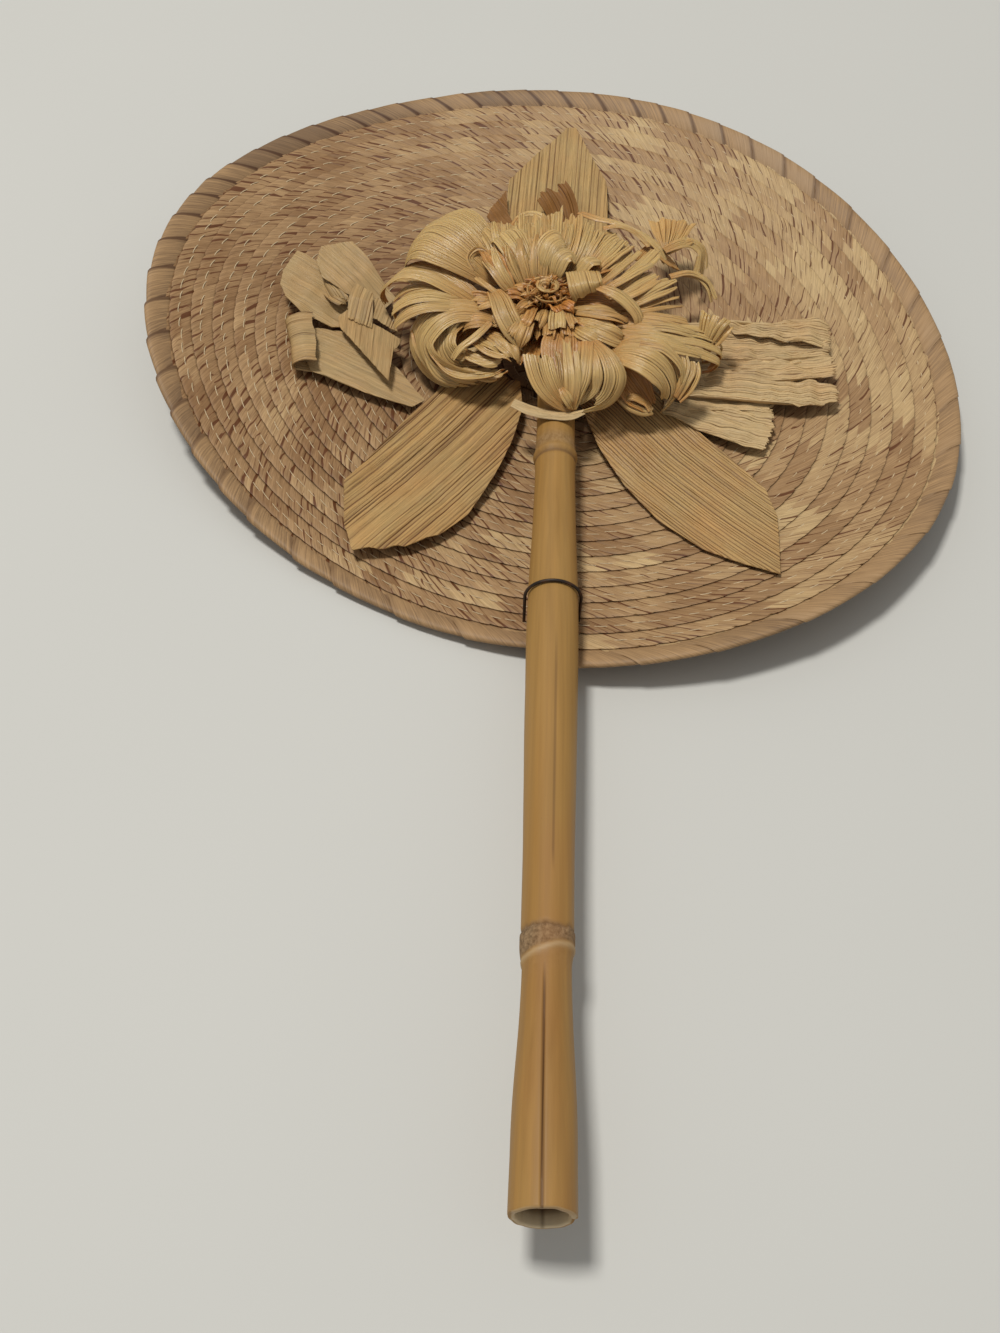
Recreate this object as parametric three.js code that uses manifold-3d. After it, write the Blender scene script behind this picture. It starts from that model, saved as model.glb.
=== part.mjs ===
// Hand fan: a plate of palm braid sewn in a spiral, tied with wire to a bamboo handle and
// dressed with a flower, leaves and ribbons of dried husk. The fan lies on its back with the
// flower up. Units are millimetres, +Z is up and the handle points along -Y.
import * as THREE from 'three';
import { mergeVertices } from 'three/addons/utils/BufferGeometryUtils.js';
import Module from 'manifold-3d';

const wasm = await Module();
wasm.setup();
const TAU = 2 * Math.PI;

// Fit between a piece and what carries it
const SEAT_GAP = 0.3;

// Braid: one flat strip wound outwards, each round's outer edge lying over the next round
const PLATE_RADIUS = 156; // mean reach of the finished rim
const BRAID_PITCH = 8;
const BRAID_WIDTH = 10.6;
const BRAID_THICKNESS = 1.2;
const BRAID_GAP = 0.55; // clear space between overlapping rounds
const BRAID_EYE = 3; // radius of the open eye where the braid starts
const STEPS_PER_ROUND = 32;
const FLOOR_CUT = 0.5; // depth of the worn flat that the plate lies on

// Rim: a strip of leaf folded over the last round
const BINDING_THICKNESS = 0.8;
const BINDING_STOP = 5; // its inner end stops this far short of a full turn

// Plate's set: how drying has bent it
const PLATE_OFFSET = -4; // centre of the plate, across from the handle's line
const PLATE_DISH = 16; // rise of the rim over the centre
const PLATE_TILT = 12.4; // far rim up, near rim down
const PLATE_RIPPLE = 5.4; // wave of the rim, three crests round
const PLATE_OVAL = 0.0685; // share by which the long radius passes the mean
const PLATE_OVAL_TURN = THREE.MathUtils.degToRad(-30.9);
const PLATE_LOBE = 0.008; // the same for three slight corners of the outline
const PLATE_LOBE_TURN = THREE.MathUtils.degToRad(50.6);

// Bamboo handle: two nodes, the lower internode hollow and open at the mouth
const HANDLE_TOP = 12; // upper end, past the plate's centre
const HANDLE_MOUTH = -351; // lower end
const UPPER_NODE = -55;
const LOWER_NODE = -264.5;
const NODE_LENGTH = 13;
const TOP_DIAMETER = 14.7;
const UPPER_NODE_DIAMETER = 15.7;
const WAIST_DIAMETER = 15;
const BELLY_DIAMETER = 17.9;
const BELLY_PLACE = -150; // where the upper internode is thickest
const LOWER_NODE_DIAMETER = 16.1;
const NECK_DIAMETER = 14.9;
const MOUTH_DIAMETER = 19.6;
const HANDLE_WALL = 2;
const DIAPHRAGM = 4; // from the lower node's end to the closed end of the hollow
const HANDLE_SIDES = 24;

// Wire staples that hold the handle to the plate
const WIRE_DIAMETER = 1.2;
const LOWER_TIE_ROUND = 2; // rounds of braid between the staple and the rim
const UPPER_TIE_ROUND = 17; // under the flower
const TIE_LAP = 10; // length that each end is folded in under the plate
const TIE_STEP_GAP = 1.3; // from the next round's inner edge, which curves towards the wire
const TIE_SIDES = 6;
const TIE_STEPS = 44;

// Flower
const FLOWER_X = -6;
const FLOWER_Y = 7;
const CORE_RADIUS = 10;
const CORE_NECK = 7; // radius of the gathered stems
const NECK_HEIGHT = 5;
const CORE_HEIGHT = 18;
const CORE_FLUTES = 7;
const FLUTE_DEPTH = 0.12; // share of the radius
const THREAD_DIAMETER = 1;
const THREAD_PITCH = 1.6;
const THREAD_TURNS = 2.5;
const THREAD_SIDES = 6;
const HUSK = 0.7; // thickness of petals, leaves and ribbons
const PETAL_BASE = 5.6; // height of the outer petals' roots over the flower's foot
const PETAL_DROOP = 2; // how far a petal's edges hang below its middle
const PETAL_END = 0.45; // width of a petal's end as a share of its sector
const INNER_BASE = 10.5;

// Outer petals in order round the flower: turn in degrees, the rest in millimetres.
// reach is the farthest point from the flower's axis, crest and tip are heights over the
// flower's foot, and curl is how far the end turns back under.
const OUTER_PETALS = [
  { name: 'petal_right', turn: 357, reach: 71, crest: 9, tip: -5, curl: 6 },
  { name: 'petal_upper_right', turn: 36, reach: 69, crest: 14, tip: 11, curl: 2 },
  { name: 'petal_top_right', turn: 64, reach: 58, crest: 13, tip: 4, curl: 4 },
  { name: 'petal_top', turn: 95, reach: 54, crest: 13, tip: 2, curl: 5 },
  { name: 'petal_upper_left', turn: 138, reach: 71, crest: 12, tip: -4, curl: 9 },
  { name: 'petal_left', turn: 174, reach: 67, crest: 9, tip: -6, curl: 14 },
  { name: 'petal_lower_left', turn: 214, reach: 57, crest: 9, tip: -6, curl: 10 },
  { name: 'petal_lower', turn: 280, reach: 53, crest: 12, tip: 4, curl: 3 },
  { name: 'petal_lower_right', turn: 321, reach: 66, crest: 10, tip: -6, curl: 16 },
];

// Inner petals: shredded strips that curl over the outer ones
const INNER_PETALS = [
  { name: 'inner_petal_1', turn: 8, reach: 37, crest: 18, tip: 15 },
  { name: 'inner_petal_2', turn: 48, reach: 44, crest: 20, tip: 18 },
  { name: 'inner_petal_3', turn: 88, reach: 38, crest: 22, tip: 18 },
  { name: 'inner_petal_4', turn: 132, reach: 36, crest: 22, tip: 17 },
  { name: 'inner_petal_5', turn: 176, reach: 35, crest: 19, tip: 15 },
  { name: 'inner_petal_6', turn: 228, reach: 30, crest: 17, tip: 15 },
  { name: 'inner_petal_7', turn: 282, reach: 28, crest: 17, tip: 16 },
  { name: 'inner_petal_8', turn: 328, reach: 34, crest: 18, tip: 15 },
];
const INNER_SHARE = 0.8; // part of its sector that an inner petal fills

// Leaves and ribbons that lie on the plate. Each runs from its root under the flower to its
// end. half holds half-widths at even steps, layer counts the sheets beneath, lift raises the
// end off the plate and wave is the height of its crinkles.
const LEAF_TIP = 0.8;
const SHEETS = [
  {
    name: 'top_leaf', root: [-3, 42], end: [4, 125], half: [19, 22, 21.5, 13, LEAF_TIP],
    layer: 0, lift: 0, wave: 0, waves: 0,
  },
  {
    name: 'left_leaf', root: [-24, -14], end: [-75, -107], half: [9, 19, 24, 20, LEAF_TIP],
    layer: 1, lift: 0.6, wave: 1, waves: 1.5,
  },
  {
    name: 'right_leaf', root: [22, -16], end: [82, -115], half: [9, 19, 21, 15, LEAF_TIP],
    layer: 0, lift: 0, wave: 0, waves: 0,
  },
  {
    name: 'left_upper_ribbon', root: [-46, 20], end: [-104, 36], half: [13, 15, 17, 19, 16],
    layer: 0, lift: 5, wave: 1.5, waves: 1,
  },
  {
    name: 'left_lower_ribbon', root: [-44, -13], end: [-107, -7], half: [14, 13, 12, 10, 9],
    layer: 0, lift: 4, wave: 0.6, waves: 1,
  },
  {
    name: 'right_upper_ribbon', root: [48, 9], end: [112, 8], half: [9, 9.5, 10, 10, 9],
    layer: 0, lift: 2.5, wave: 1.2, waves: 2.5,
  },
  {
    name: 'right_middle_ribbon', root: [46, -12], end: [111, -21], half: [8, 9, 9.5, 9, 8],
    layer: 2, lift: 2, wave: 1.2, waves: 2.5,
  },
  {
    name: 'right_lower_ribbon', root: [42, -27], end: [86, -38], half: [9, 10, 11, 12, 12],
    layer: 1, lift: 0, wave: 0.5, waves: 1.5,
  },
];
const BRACT = { root: [-5, 62], end: [-6, 86], half: [7, 8, 6], layer: 1, lift: 9, wave: 0, waves: 0 };
const LOOSE_STRIP = { y: -43, from: -17, to: 11, slant: -4, half: 3 };

// Finishes: colour, roughness, metalness
const FINISH = {
  braid: [0xb8926c, 0.75, 0],
  binding: [0xb58a66, 0.7, 0],
  bamboo: [0xb98d48, 0.45, 0],
  wire: [0x3a322c, 0.5, 0.8],
  husk: [0xd9bf8c, 0.7, 0],
  bract: [0xa37a45, 0.75, 0],
  thread: [0xcdbb95, 0.8, 0],
};

const fan = new THREE.Group();

function add(name, geometry, finish) {
  const [color, roughness, metalness] = FINISH[finish];
  const mesh = new THREE.Mesh(geometry, new THREE.MeshStandardMaterial({ color, roughness, metalness }));
  mesh.name = name;
  fan.add(mesh);
  return mesh;
}

// A solid through closed rings of points, its two ends closed by the given triangles
function loft(rings, cap) {
  const count = rings[0].length;
  const index = [];
  for (let ring = 0; ring < rings.length - 1; ring += 1) {
    for (let i = 0; i < count; i += 1) {
      const next = (i + 1) % count;
      const a = ring * count + i;
      const b = ring * count + next;
      index.push(a, b, b + count, a, b + count, a + count);
    }
  }
  const last = (rings.length - 1) * count;
  for (const [a, b, c] of cap) {
    index.push(c, b, a, last + a, last + b, last + c);
  }
  const geometry = new THREE.BufferGeometry().setFromPoints(rings.flat());
  geometry.setIndex(index);
  return facingOut(geometry);
}

// Turns every face round if the solid is inside out
function facingOut(geometry) {
  const point = geometry.getAttribute('position');
  const index = geometry.getIndex().array;
  const corner = [new THREE.Vector3(), new THREE.Vector3(), new THREE.Vector3()];
  let volume = 0;
  for (let i = 0; i < index.length; i += 3) {
    corner.forEach((c, k) => c.fromBufferAttribute(point, index[i + k]));
    volume += corner[0].dot(corner[1].clone().cross(corner[2]));
  }
  if (volume < 0) {
    for (let i = 0; i < index.length; i += 3) {
      [index[i], index[i + 1]] = [index[i + 1], index[i]];
    }
  }
  geometry.computeVertexNormals();
  return geometry;
}

// Closed mesh with merged points, as the boolean library takes it
function merged(geometry) {
  const bare = geometry.clone();
  bare.deleteAttribute('normal');
  bare.deleteAttribute('uv');
  return mergeVertices(bare, 1e-4);
}

function toSolid(geometry) {
  const bare = facingOut(merged(geometry));
  const vertProperties = new Float32Array(bare.getAttribute('position').array);
  const triVerts = new Uint32Array(bare.getIndex().array);
  return new wasm.Manifold(new wasm.Mesh({ numProp: 3, vertProperties, triVerts }));
}

function toGeometry(solid) {
  const mesh = solid.getMesh();
  const geometry = new THREE.BufferGeometry();
  geometry.setAttribute('position', new THREE.BufferAttribute(new Float32Array(mesh.vertProperties), 3));
  geometry.setIndex(new THREE.BufferAttribute(new Uint32Array(mesh.triVerts), 1));
  geometry.computeVertexNormals();
  return geometry;
}

// Round section for wire and thread
function roundShape(radius, sides) {
  const points = [];
  for (let i = 0; i < sides; i += 1) {
    const turn = TAU * i / sides;
    points.push(new THREE.Vector2(radius * Math.cos(turn), radius * Math.sin(turn)));
  }
  return new THREE.Shape(points);
}

function tube(path, radius, sides, steps) {
  const options = { steps, extrudePath: path, bevelEnabled: false };
  return facingOut(merged(new THREE.ExtrudeGeometry(roundShape(radius, sides), options)));
}

// Height of the plate's middle surface, which is dished, tilted and rippled
function plateHeight(x, y) {
  const reach = Math.hypot(x - PLATE_OFFSET, y) / PLATE_RADIUS;
  const turn = Math.atan2(y, x - PLATE_OFFSET);
  const ripple = PLATE_RIPPLE * reach ** 3 * Math.cos(3 * turn);
  return PLATE_TILT * reach * Math.sin(turn) + PLATE_DISH * reach ** 2 - ripple;
}

// Share of the mean radius that the plate's outline has at a turn
function plateShape(turn) {
  const oval = PLATE_OVAL * Math.cos(2 * (turn - PLATE_OVAL_TURN));
  return 1 + oval + PLATE_LOBE * Math.cos(3 * (turn - PLATE_LOBE_TURN));
}

// Braid
const braidSlope = (BRAID_THICKNESS + BRAID_GAP) / BRAID_PITCH;
const braidHalf = (braidSlope * BRAID_WIDTH + BRAID_THICKNESS) / 2; // half the plate's depth
const rimWall = BINDING_THICKNESS + SEAT_GAP;
const outerCentre = PLATE_RADIUS + BRAID_PITCH / 2 - rimWall - BRAID_WIDTH / 2;
const rounds = (outerCentre - BRAID_WIDTH / 2 - BRAID_EYE) / BRAID_PITCH;
const startTurn = -TAU / 4; // the outer end lies behind the handle

// A point of the braid: sweep is the angle wound back from the outer end, across runs outwards
// over the strip's width and above is measured from its middle surface.
function braidPoint(sweep, across, above) {
  const turn = startTurn + sweep;
  const radius = (outerCentre - BRAID_PITCH * sweep / TAU + across) * plateShape(turn);
  const x = PLATE_OFFSET + radius * Math.cos(turn);
  const y = radius * Math.sin(turn);
  return new THREE.Vector3(x, y, plateHeight(x, y) + braidSlope * across + above);
}

const stepTurn = TAU / STEPS_PER_ROUND;
const plateTop = (x, y) => plateHeight(x, y) + braidHalf;

function braidRing(sweep) {
  const side = BRAID_WIDTH / 2;
  const face = BRAID_THICKNESS / 2;
  return [
    braidPoint(sweep, -side, -face),
    braidPoint(sweep, side, -face),
    braidPoint(sweep, side, face),
    braidPoint(sweep, -side, face),
  ];
}

function braidStrip() {
  const rings = [];
  for (let i = 0; i <= Math.floor(rounds * STEPS_PER_ROUND); i += 1) {
    rings.push(braidRing(i * stepTurn));
  }
  return loft(rings, [[0, 1, 2], [0, 2, 3]]);
}

// Least gap between each round and the next, measured on points over the overlap
function braidSelfGap() {
  const samples = 16;
  const overlap = BRAID_WIDTH - BRAID_PITCH;
  let least = Infinity;
  for (let sweep = 0; sweep < TAU * (rounds - 1); sweep += stepTurn) {
    for (let i = 0; i <= samples; i += 1) {
      const under = braidPoint(sweep, -BRAID_WIDTH / 2 + overlap * i / samples, BRAID_THICKNESS / 2);
      for (let k = 0; k <= samples; k += 1) {
        const across = BRAID_WIDTH / 2 - overlap * k / samples;
        const over = braidPoint(sweep + TAU, across, -BRAID_THICKNESS / 2);
        least = Math.min(least, under.distanceTo(over));
      }
    }
  }
  return least;
}

// Rim binding: a channel folded over the last round, open where its two ends meet the handle
function rimBinding() {
  const inner = BRAID_WIDTH / 2 - (BRAID_PITCH - BRAID_GAP);
  const edge = BRAID_WIDTH / 2 + SEAT_GAP;
  const face = BRAID_THICKNESS / 2 + SEAT_GAP;
  const wall = BINDING_THICKNESS;
  const section = [
    [inner, face], [edge, face], [edge, -face], [inner, -face],
    [inner, -face - wall], [edge + wall, -face - wall], [edge + wall, face + wall], [inner, face + wall],
  ];
  const endSweep = TAU - BINDING_STOP / outerCentre;
  const rings = [];
  for (let sweep = 0; sweep < endSweep; sweep += stepTurn) {
    rings.push(section.map(([across, above]) => braidPoint(sweep, across, above)));
  }
  rings.push(section.map(([across, above]) => braidPoint(endSweep, across, above)));
  const outline = section.map(([across, above]) => new THREE.Vector2(across, above));
  return loft(rings, THREE.ShapeUtils.triangulateShape(outline, []));
}

// Bamboo handle
const halfNode = NODE_LENGTH / 2;
const HANDLE_STATIONS = [
  [HANDLE_TOP, TOP_DIAMETER / 2],
  [UPPER_NODE + halfNode, TOP_DIAMETER / 2],
  [UPPER_NODE, UPPER_NODE_DIAMETER / 2],
  [UPPER_NODE - halfNode, WAIST_DIAMETER / 2],
  [BELLY_PLACE, BELLY_DIAMETER / 2],
  [LOWER_NODE + halfNode, LOWER_NODE_DIAMETER / 2],
  [LOWER_NODE, LOWER_NODE_DIAMETER / 2],
  [LOWER_NODE - halfNode, NECK_DIAMETER / 2],
  [HANDLE_MOUTH, MOUTH_DIAMETER / 2],
];

function handleRadius(y) {
  const last = HANDLE_STATIONS.length - 2;
  let i = 0;
  while (i < last && y < HANDLE_STATIONS[i + 1][0]) {
    i += 1;
  }
  const [y0, r0] = HANDLE_STATIONS[i];
  const [y1, r1] = HANDLE_STATIONS[i + 1];
  const share = THREE.MathUtils.smoothstep((y0 - y) / (y0 - y1), 0, 1);
  return THREE.MathUtils.lerp(r0, r1, share);
}

function handleProfile() {
  const stepsPerStretch = 4;
  const points = [new THREE.Vector2(0, HANDLE_TOP)];
  for (let i = 0; i < HANDLE_STATIONS.length - 1; i += 1) {
    for (let k = 0; k < stepsPerStretch; k += 1) {
      const y = THREE.MathUtils.lerp(HANDLE_STATIONS[i][0], HANDLE_STATIONS[i + 1][0], k / stepsPerStretch);
      points.push(new THREE.Vector2(handleRadius(y), y));
    }
  }
  points.push(new THREE.Vector2(MOUTH_DIAMETER / 2, HANDLE_MOUTH));
  const boreEnd = LOWER_NODE - halfNode - DIAPHRAGM;
  for (let k = 0; k <= stepsPerStretch; k += 1) {
    const y = THREE.MathUtils.lerp(HANDLE_MOUTH, boreEnd, k / stepsPerStretch);
    points.push(new THREE.Vector2(handleRadius(y) - HANDLE_WALL, y));
  }
  points.push(new THREE.Vector2(0, boreEnd));
  return points;
}

// The handle lies on the rim and, with its upper end, on the plate beyond the centre
const nearShape = plateShape(startTurn);
const nearRim = -(PLATE_RADIUS + BRAID_PITCH / 2) * nearShape;

// Height of the handle's axis at y when it is let down on a surface raised by the given amount
function seatedAxis(y, raised) {
  const samples = 12;
  const radius = handleRadius(y) + SEAT_GAP;
  let axis = -Infinity;
  for (let i = 0; i <= samples; i += 1) {
    const x = radius * (2 * i / samples - 1);
    axis = Math.max(axis, plateTop(x, y) + raised + Math.sqrt(radius ** 2 - x ** 2));
  }
  return axis;
}

const nearAxis = seatedAxis(nearRim, rimWall);
const handleSlope = (seatedAxis(HANDLE_TOP, 0) - nearAxis) / (HANDLE_TOP - nearRim);
const handleAxis = (y) => nearAxis + handleSlope * (y - nearRim);
const handleCrown = (y) => handleAxis(y) + handleRadius(y);

function bambooHandle() {
  const geometry = facingOut(merged(new THREE.LatheGeometry(handleProfile(), HANDLE_SIDES)));
  const handle = add('bamboo_handle', geometry, 'bamboo');
  handle.position.z = handleAxis(0);
  handle.rotation.x = Math.atan(handleSlope);
}

// Wire staple: an arch over the handle whose legs pass through the braid and fold in beneath
const wireRadius = WIRE_DIAMETER / 2;
const legPlace = (y) => handleRadius(y) + SEAT_GAP + wireRadius;

// Beneath, the wire lies against the step where the next round's inner edge begins
const notchAcross = BRAID_PITCH - BRAID_WIDTH / 2 - TIE_STEP_GAP - wireRadius;
const tiePlace = (round) => -(outerCentre - BRAID_PITCH * round + notchAcross) * nearShape;

function tiePath(y) {
  const leg = legPlace(y);
  const axis = handleAxis(y);
  const foldedEnd = (side, shift) => {
    const rest = braidSlope * (notchAcross - shift) - BRAID_THICKNESS / 2 - SEAT_GAP - wireRadius;
    const under = (inset, share) => {
      const x = side * (leg - inset);
      return new THREE.Vector3(x, y + shift * share, plateHeight(x, y) + rest);
    };
    const bend = under(0, 0).setZ(under(0, 0).z + WIRE_DIAMETER);
    const rise = bend.clone().setZ(THREE.MathUtils.lerp(bend.z, axis, 0.5));
    return [under(TIE_LAP, 1), under(TIE_LAP / 2, 1), under(WIRE_DIAMETER, 0.5), bend, rise];
  };
  const points = foldedEnd(-1, 0);
  const archSteps = 8;
  for (let i = 0; i <= archSteps; i += 1) {
    const turn = Math.PI * (1 - i / archSteps);
    points.push(new THREE.Vector3(leg * Math.cos(turn), y, axis + leg * Math.sin(turn)));
  }
  points.push(...foldedEnd(1, WIRE_DIAMETER + SEAT_GAP).reverse());
  return new THREE.CatmullRomCurve3(points, false, 'centripetal');
}

// The wire, or with the seat gap around it the way that it parts through the braid
const tieTube = (y, around) => tube(tiePath(y), wireRadius + around, TIE_SIDES, TIE_STEPS);

const lowerTie = tiePlace(LOWER_TIE_ROUND);
const upperTie = tiePlace(UPPER_TIE_ROUND);

function wovenPlate() {
  const strip = braidStrip();
  strip.computeBoundingBox();
  const { min, max } = strip.boundingBox;
  const slabDepth = 10;
  const slab = new THREE.BoxGeometry(max.x - min.x, max.y - min.y, slabDepth);
  const slabTop = min.z + FLOOR_CUT;
  slab.translate((min.x + max.x) / 2, (min.y + max.y) / 2, slabTop - slabDepth / 2);
  let solid = toSolid(strip).subtract(toSolid(slab));
  for (const place of [lowerTie, upperTie]) {
    solid = solid.subtract(toSolid(tieTube(place, SEAT_GAP)));
  }
  add('braid_coil', toGeometry(solid), 'braid');
  add('rim_binding', rimBinding(), 'binding');
}

function wireTies() {
  add('lower_wire_tie', tieTube(lowerTie, 0), 'wire');
  add('upper_wire_tie', tieTube(upperTie, 0), 'wire');
}

// Flower: gathered stems, a fluted tuft and two tiers of petals
const flowerFoot = handleCrown(FLOWER_Y) + SEAT_GAP;

function flowerCore() {
  const dome = CORE_HEIGHT - NECK_HEIGHT;
  const profile = [
    [0, 0], [CORE_NECK, 0], [CORE_NECK, NECK_HEIGHT], [CORE_RADIUS, NECK_HEIGHT],
    [CORE_RADIUS, NECK_HEIGHT + dome / 2], [CORE_RADIUS * 0.8, NECK_HEIGHT + dome * 0.8],
    [CORE_RADIUS * 0.45, CORE_HEIGHT], [0, CORE_HEIGHT - dome * 0.15],
  ].map(([radius, height]) => new THREE.Vector2(radius, height));
  const geometry = merged(new THREE.LatheGeometry(profile, 4 * CORE_FLUTES));
  geometry.rotateX(Math.PI / 2);
  const point = geometry.getAttribute('position');
  for (let i = 0; i < point.count; i += 1) {
    const turn = Math.atan2(point.getY(i), point.getX(i));
    const above = Math.max(0, point.getZ(i) - NECK_HEIGHT) / dome;
    const flute = 1 - FLUTE_DEPTH * above * (1 - Math.cos(CORE_FLUTES * turn));
    point.setXY(i, point.getX(i) * flute, point.getY(i) * flute);
  }
  const core = add('flower_core', facingOut(geometry), 'husk');
  core.position.set(FLOWER_X, FLOWER_Y, flowerFoot);
}

class ThreadPath extends THREE.Curve {
  getPoint(share) {
    const turn = TAU * THREAD_TURNS * share;
    const radius = CORE_NECK + SEAT_GAP + THREAD_DIAMETER / 2;
    const rise = THREAD_PITCH * THREAD_TURNS;
    const height = (NECK_HEIGHT - rise) / 2 + rise * share;
    return new THREE.Vector3(radius * Math.cos(turn), radius * Math.sin(turn), height);
  }
}

function flowerThread() {
  const stepsPerTurn = 16;
  const steps = Math.round(stepsPerTurn * THREAD_TURNS);
  const thread = add('flower_thread', tube(new ThreadPath(), THREAD_DIAMETER / 2, THREAD_SIDES, steps), 'thread');
  thread.position.set(FLOWER_X, FLOWER_Y, flowerFoot);
}

// A husk sheet from a grid of middle points and normals, closed all round
function sheetSolid(rows) {
  const rings = rows.map((row) => {
    const offset = ({ point, normal }, side) => point.clone().addScaledVector(normal, side * HUSK / 2);
    const upper = row.map((cell) => offset(cell, 1));
    const lower = row.map((cell) => offset(cell, -1));
    return [...upper, ...lower.reverse()];
  });
  const across = rows[0].length;
  const cap = [];
  for (let i = 0; i < across - 1; i += 1) {
    const below = 2 * across - 1 - i;
    cap.push([i, i + 1, below], [i + 1, below - 1, below]);
  }
  return loft(rings, cap);
}

// A petal fills a sector of the flower: its profile is a curve in the plane through the axis,
// and it narrows to its end.
function petal(profile, [start, stop], steps, across) {
  const turn = (start + stop) / 2;
  const spread = (stop - start) / 2;
  const rows = [];
  for (let i = 0; i <= steps; i += 1) {
    const share = i / steps;
    const spot = profile.getPoint(share);
    const tangent = profile.getTangent(share);
    const narrowing = THREE.MathUtils.lerp(1, PETAL_END, THREE.MathUtils.smoothstep(share, 0.55, 1));
    const row = [];
    for (let k = 0; k <= across; k += 1) {
      const side = 2 * k / across - 1;
      const angle = turn + side * spread * narrowing;
      const out = new THREE.Vector3(Math.cos(angle), Math.sin(angle), 0);
      const point = out.clone().multiplyScalar(spot.x);
      point.z = spot.y - PETAL_DROOP * side * side * Math.sin(Math.PI * share);
      const normal = out.multiplyScalar(-tangent.y).setZ(tangent.x);
      row.push({ point, normal });
    }
    rows.push(row);
  }
  return sheetSolid(rows);
}

// The sector that each petal may fill: half way to its neighbours, less a gap at its root
function sectors(petals, root, share) {
  const turns = petals.map(({ turn }) => turn);
  return turns.map((turn, i) => {
    const before = turns[(i + turns.length - 1) % turns.length];
    const after = turns[(i + 1) % turns.length];
    const toBefore = THREE.MathUtils.euclideanModulo(turn - before, 360);
    const toAfter = THREE.MathUtils.euclideanModulo(after - turn, 360);
    const gap = SEAT_GAP / root;
    const start = THREE.MathUtils.degToRad(turn - share * toBefore / 2) + gap;
    const stop = THREE.MathUtils.degToRad(turn + share * toAfter / 2) - gap;
    return [start, stop];
  });
}

function petals() {
  const root = CORE_RADIUS + SEAT_GAP + HUSK / 2;
  const place = (mesh) => mesh.position.set(FLOWER_X, FLOWER_Y, flowerFoot);
  const outer = sectors(OUTER_PETALS, root, 1);
  OUTER_PETALS.forEach(({ name, reach, crest, tip, curl }, i) => {
    const profile = new THREE.SplineCurve([
      new THREE.Vector2(root, PETAL_BASE),
      new THREE.Vector2(THREE.MathUtils.lerp(root, reach, 0.45), crest),
      new THREE.Vector2(THREE.MathUtils.lerp(root, reach, 0.85), THREE.MathUtils.lerp(tip, crest, 0.85)),
      new THREE.Vector2(reach, THREE.MathUtils.lerp(tip, crest, 0.45)),
      new THREE.Vector2(reach - curl, tip),
    ]);
    place(add(name, petal(profile, outer[i], 12, 4), 'husk'));
  });
  const inner = sectors(INNER_PETALS, root, INNER_SHARE);
  INNER_PETALS.forEach(({ name, reach, crest, tip }, i) => {
    const profile = new THREE.SplineCurve([
      new THREE.Vector2(root, INNER_BASE),
      new THREE.Vector2(THREE.MathUtils.lerp(root, reach, 0.5), THREE.MathUtils.lerp(INNER_BASE, crest, 0.85)),
      new THREE.Vector2(THREE.MathUtils.lerp(root, reach, 0.85), crest),
      new THREE.Vector2(reach, tip),
    ]);
    place(add(name, petal(profile, inner[i], 8, 2), 'husk'));
  });
}

// A leaf or ribbon that lies on the plate
function lyingSheet({ root, end, half, layer, lift, wave, waves }) {
  const steps = 12;
  const across = 4;
  const from = new THREE.Vector2(...root);
  const along = new THREE.Vector2(...end).sub(from);
  const sideways = new THREE.Vector2(-along.y, along.x).normalize();
  const widths = new THREE.SplineCurve(half.map((value, i) => new THREE.Vector2(i / (half.length - 1), value)));
  const rest = SEAT_GAP + HUSK / 2 + layer * (HUSK + SEAT_GAP);
  const rows = [];
  for (let i = 0; i <= steps; i += 1) {
    const share = i / steps;
    const halfWidth = widths.getPoint(share).y;
    const crinkle = wave * (1 - Math.cos(TAU * waves * share)) / 2;
    const row = [];
    for (let k = 0; k <= across; k += 1) {
      const spot = from.clone().addScaledVector(along, share);
      spot.addScaledVector(sideways, halfWidth * (2 * k / across - 1));
      const height = plateTop(spot.x, spot.y) + rest + crinkle + lift * share * share;
      row.push({ point: new THREE.Vector3(spot.x, spot.y, height), normal: new THREE.Vector3(0, 0, 1) });
    }
    rows.push(row);
  }
  return sheetSolid(rows);
}

// A torn strip lying across the handle under the flower
function looseStrip() {
  const { y, from, to, slant, half } = LOOSE_STRIP;
  const steps = 8;
  const rows = [];
  for (let i = 0; i <= steps; i += 1) {
    const share = i / steps;
    const middle = y + slant * share;
    const height = handleCrown(y) + SEAT_GAP + HUSK / 2;
    const row = [-half, 0, half].map((offset) => ({
      point: new THREE.Vector3(THREE.MathUtils.lerp(from, to, share), middle + offset, height),
      normal: new THREE.Vector3(0, 0, 1),
    }));
    rows.push(row);
  }
  return sheetSolid(rows);
}

wovenPlate();
bambooHandle();
wireTies();
flowerCore();
flowerThread();
petals();
for (const sheet of SHEETS) {
  add(sheet.name, lyingSheet(sheet), 'husk');
}
add('brown_bract', lyingSheet(BRACT), 'bract');
add('loose_strip', looseStrip(), 'husk');

// The origin is the middle of the foot of the fan's box
const box = new THREE.Box3().setFromObject(fan);
const middle = box.getCenter(new THREE.Vector3());
fan.position.set(-middle.x, -middle.y, -box.min.z);

console.log(`least gap between rounds of the braid: ${braidSelfGap().toFixed(3)} mm`);

export default fan;
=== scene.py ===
"""Palm leaf hand fan: a plaited plate on a bamboo stick, with a flower of dried husk.

Laid out as an add-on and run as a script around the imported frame. Sizes in the tables are
millimetres in the frame's own axes; Blender's meshes are metres.
"""
import math

import bpy
import numpy as np
from mathutils import Matrix, Vector


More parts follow.
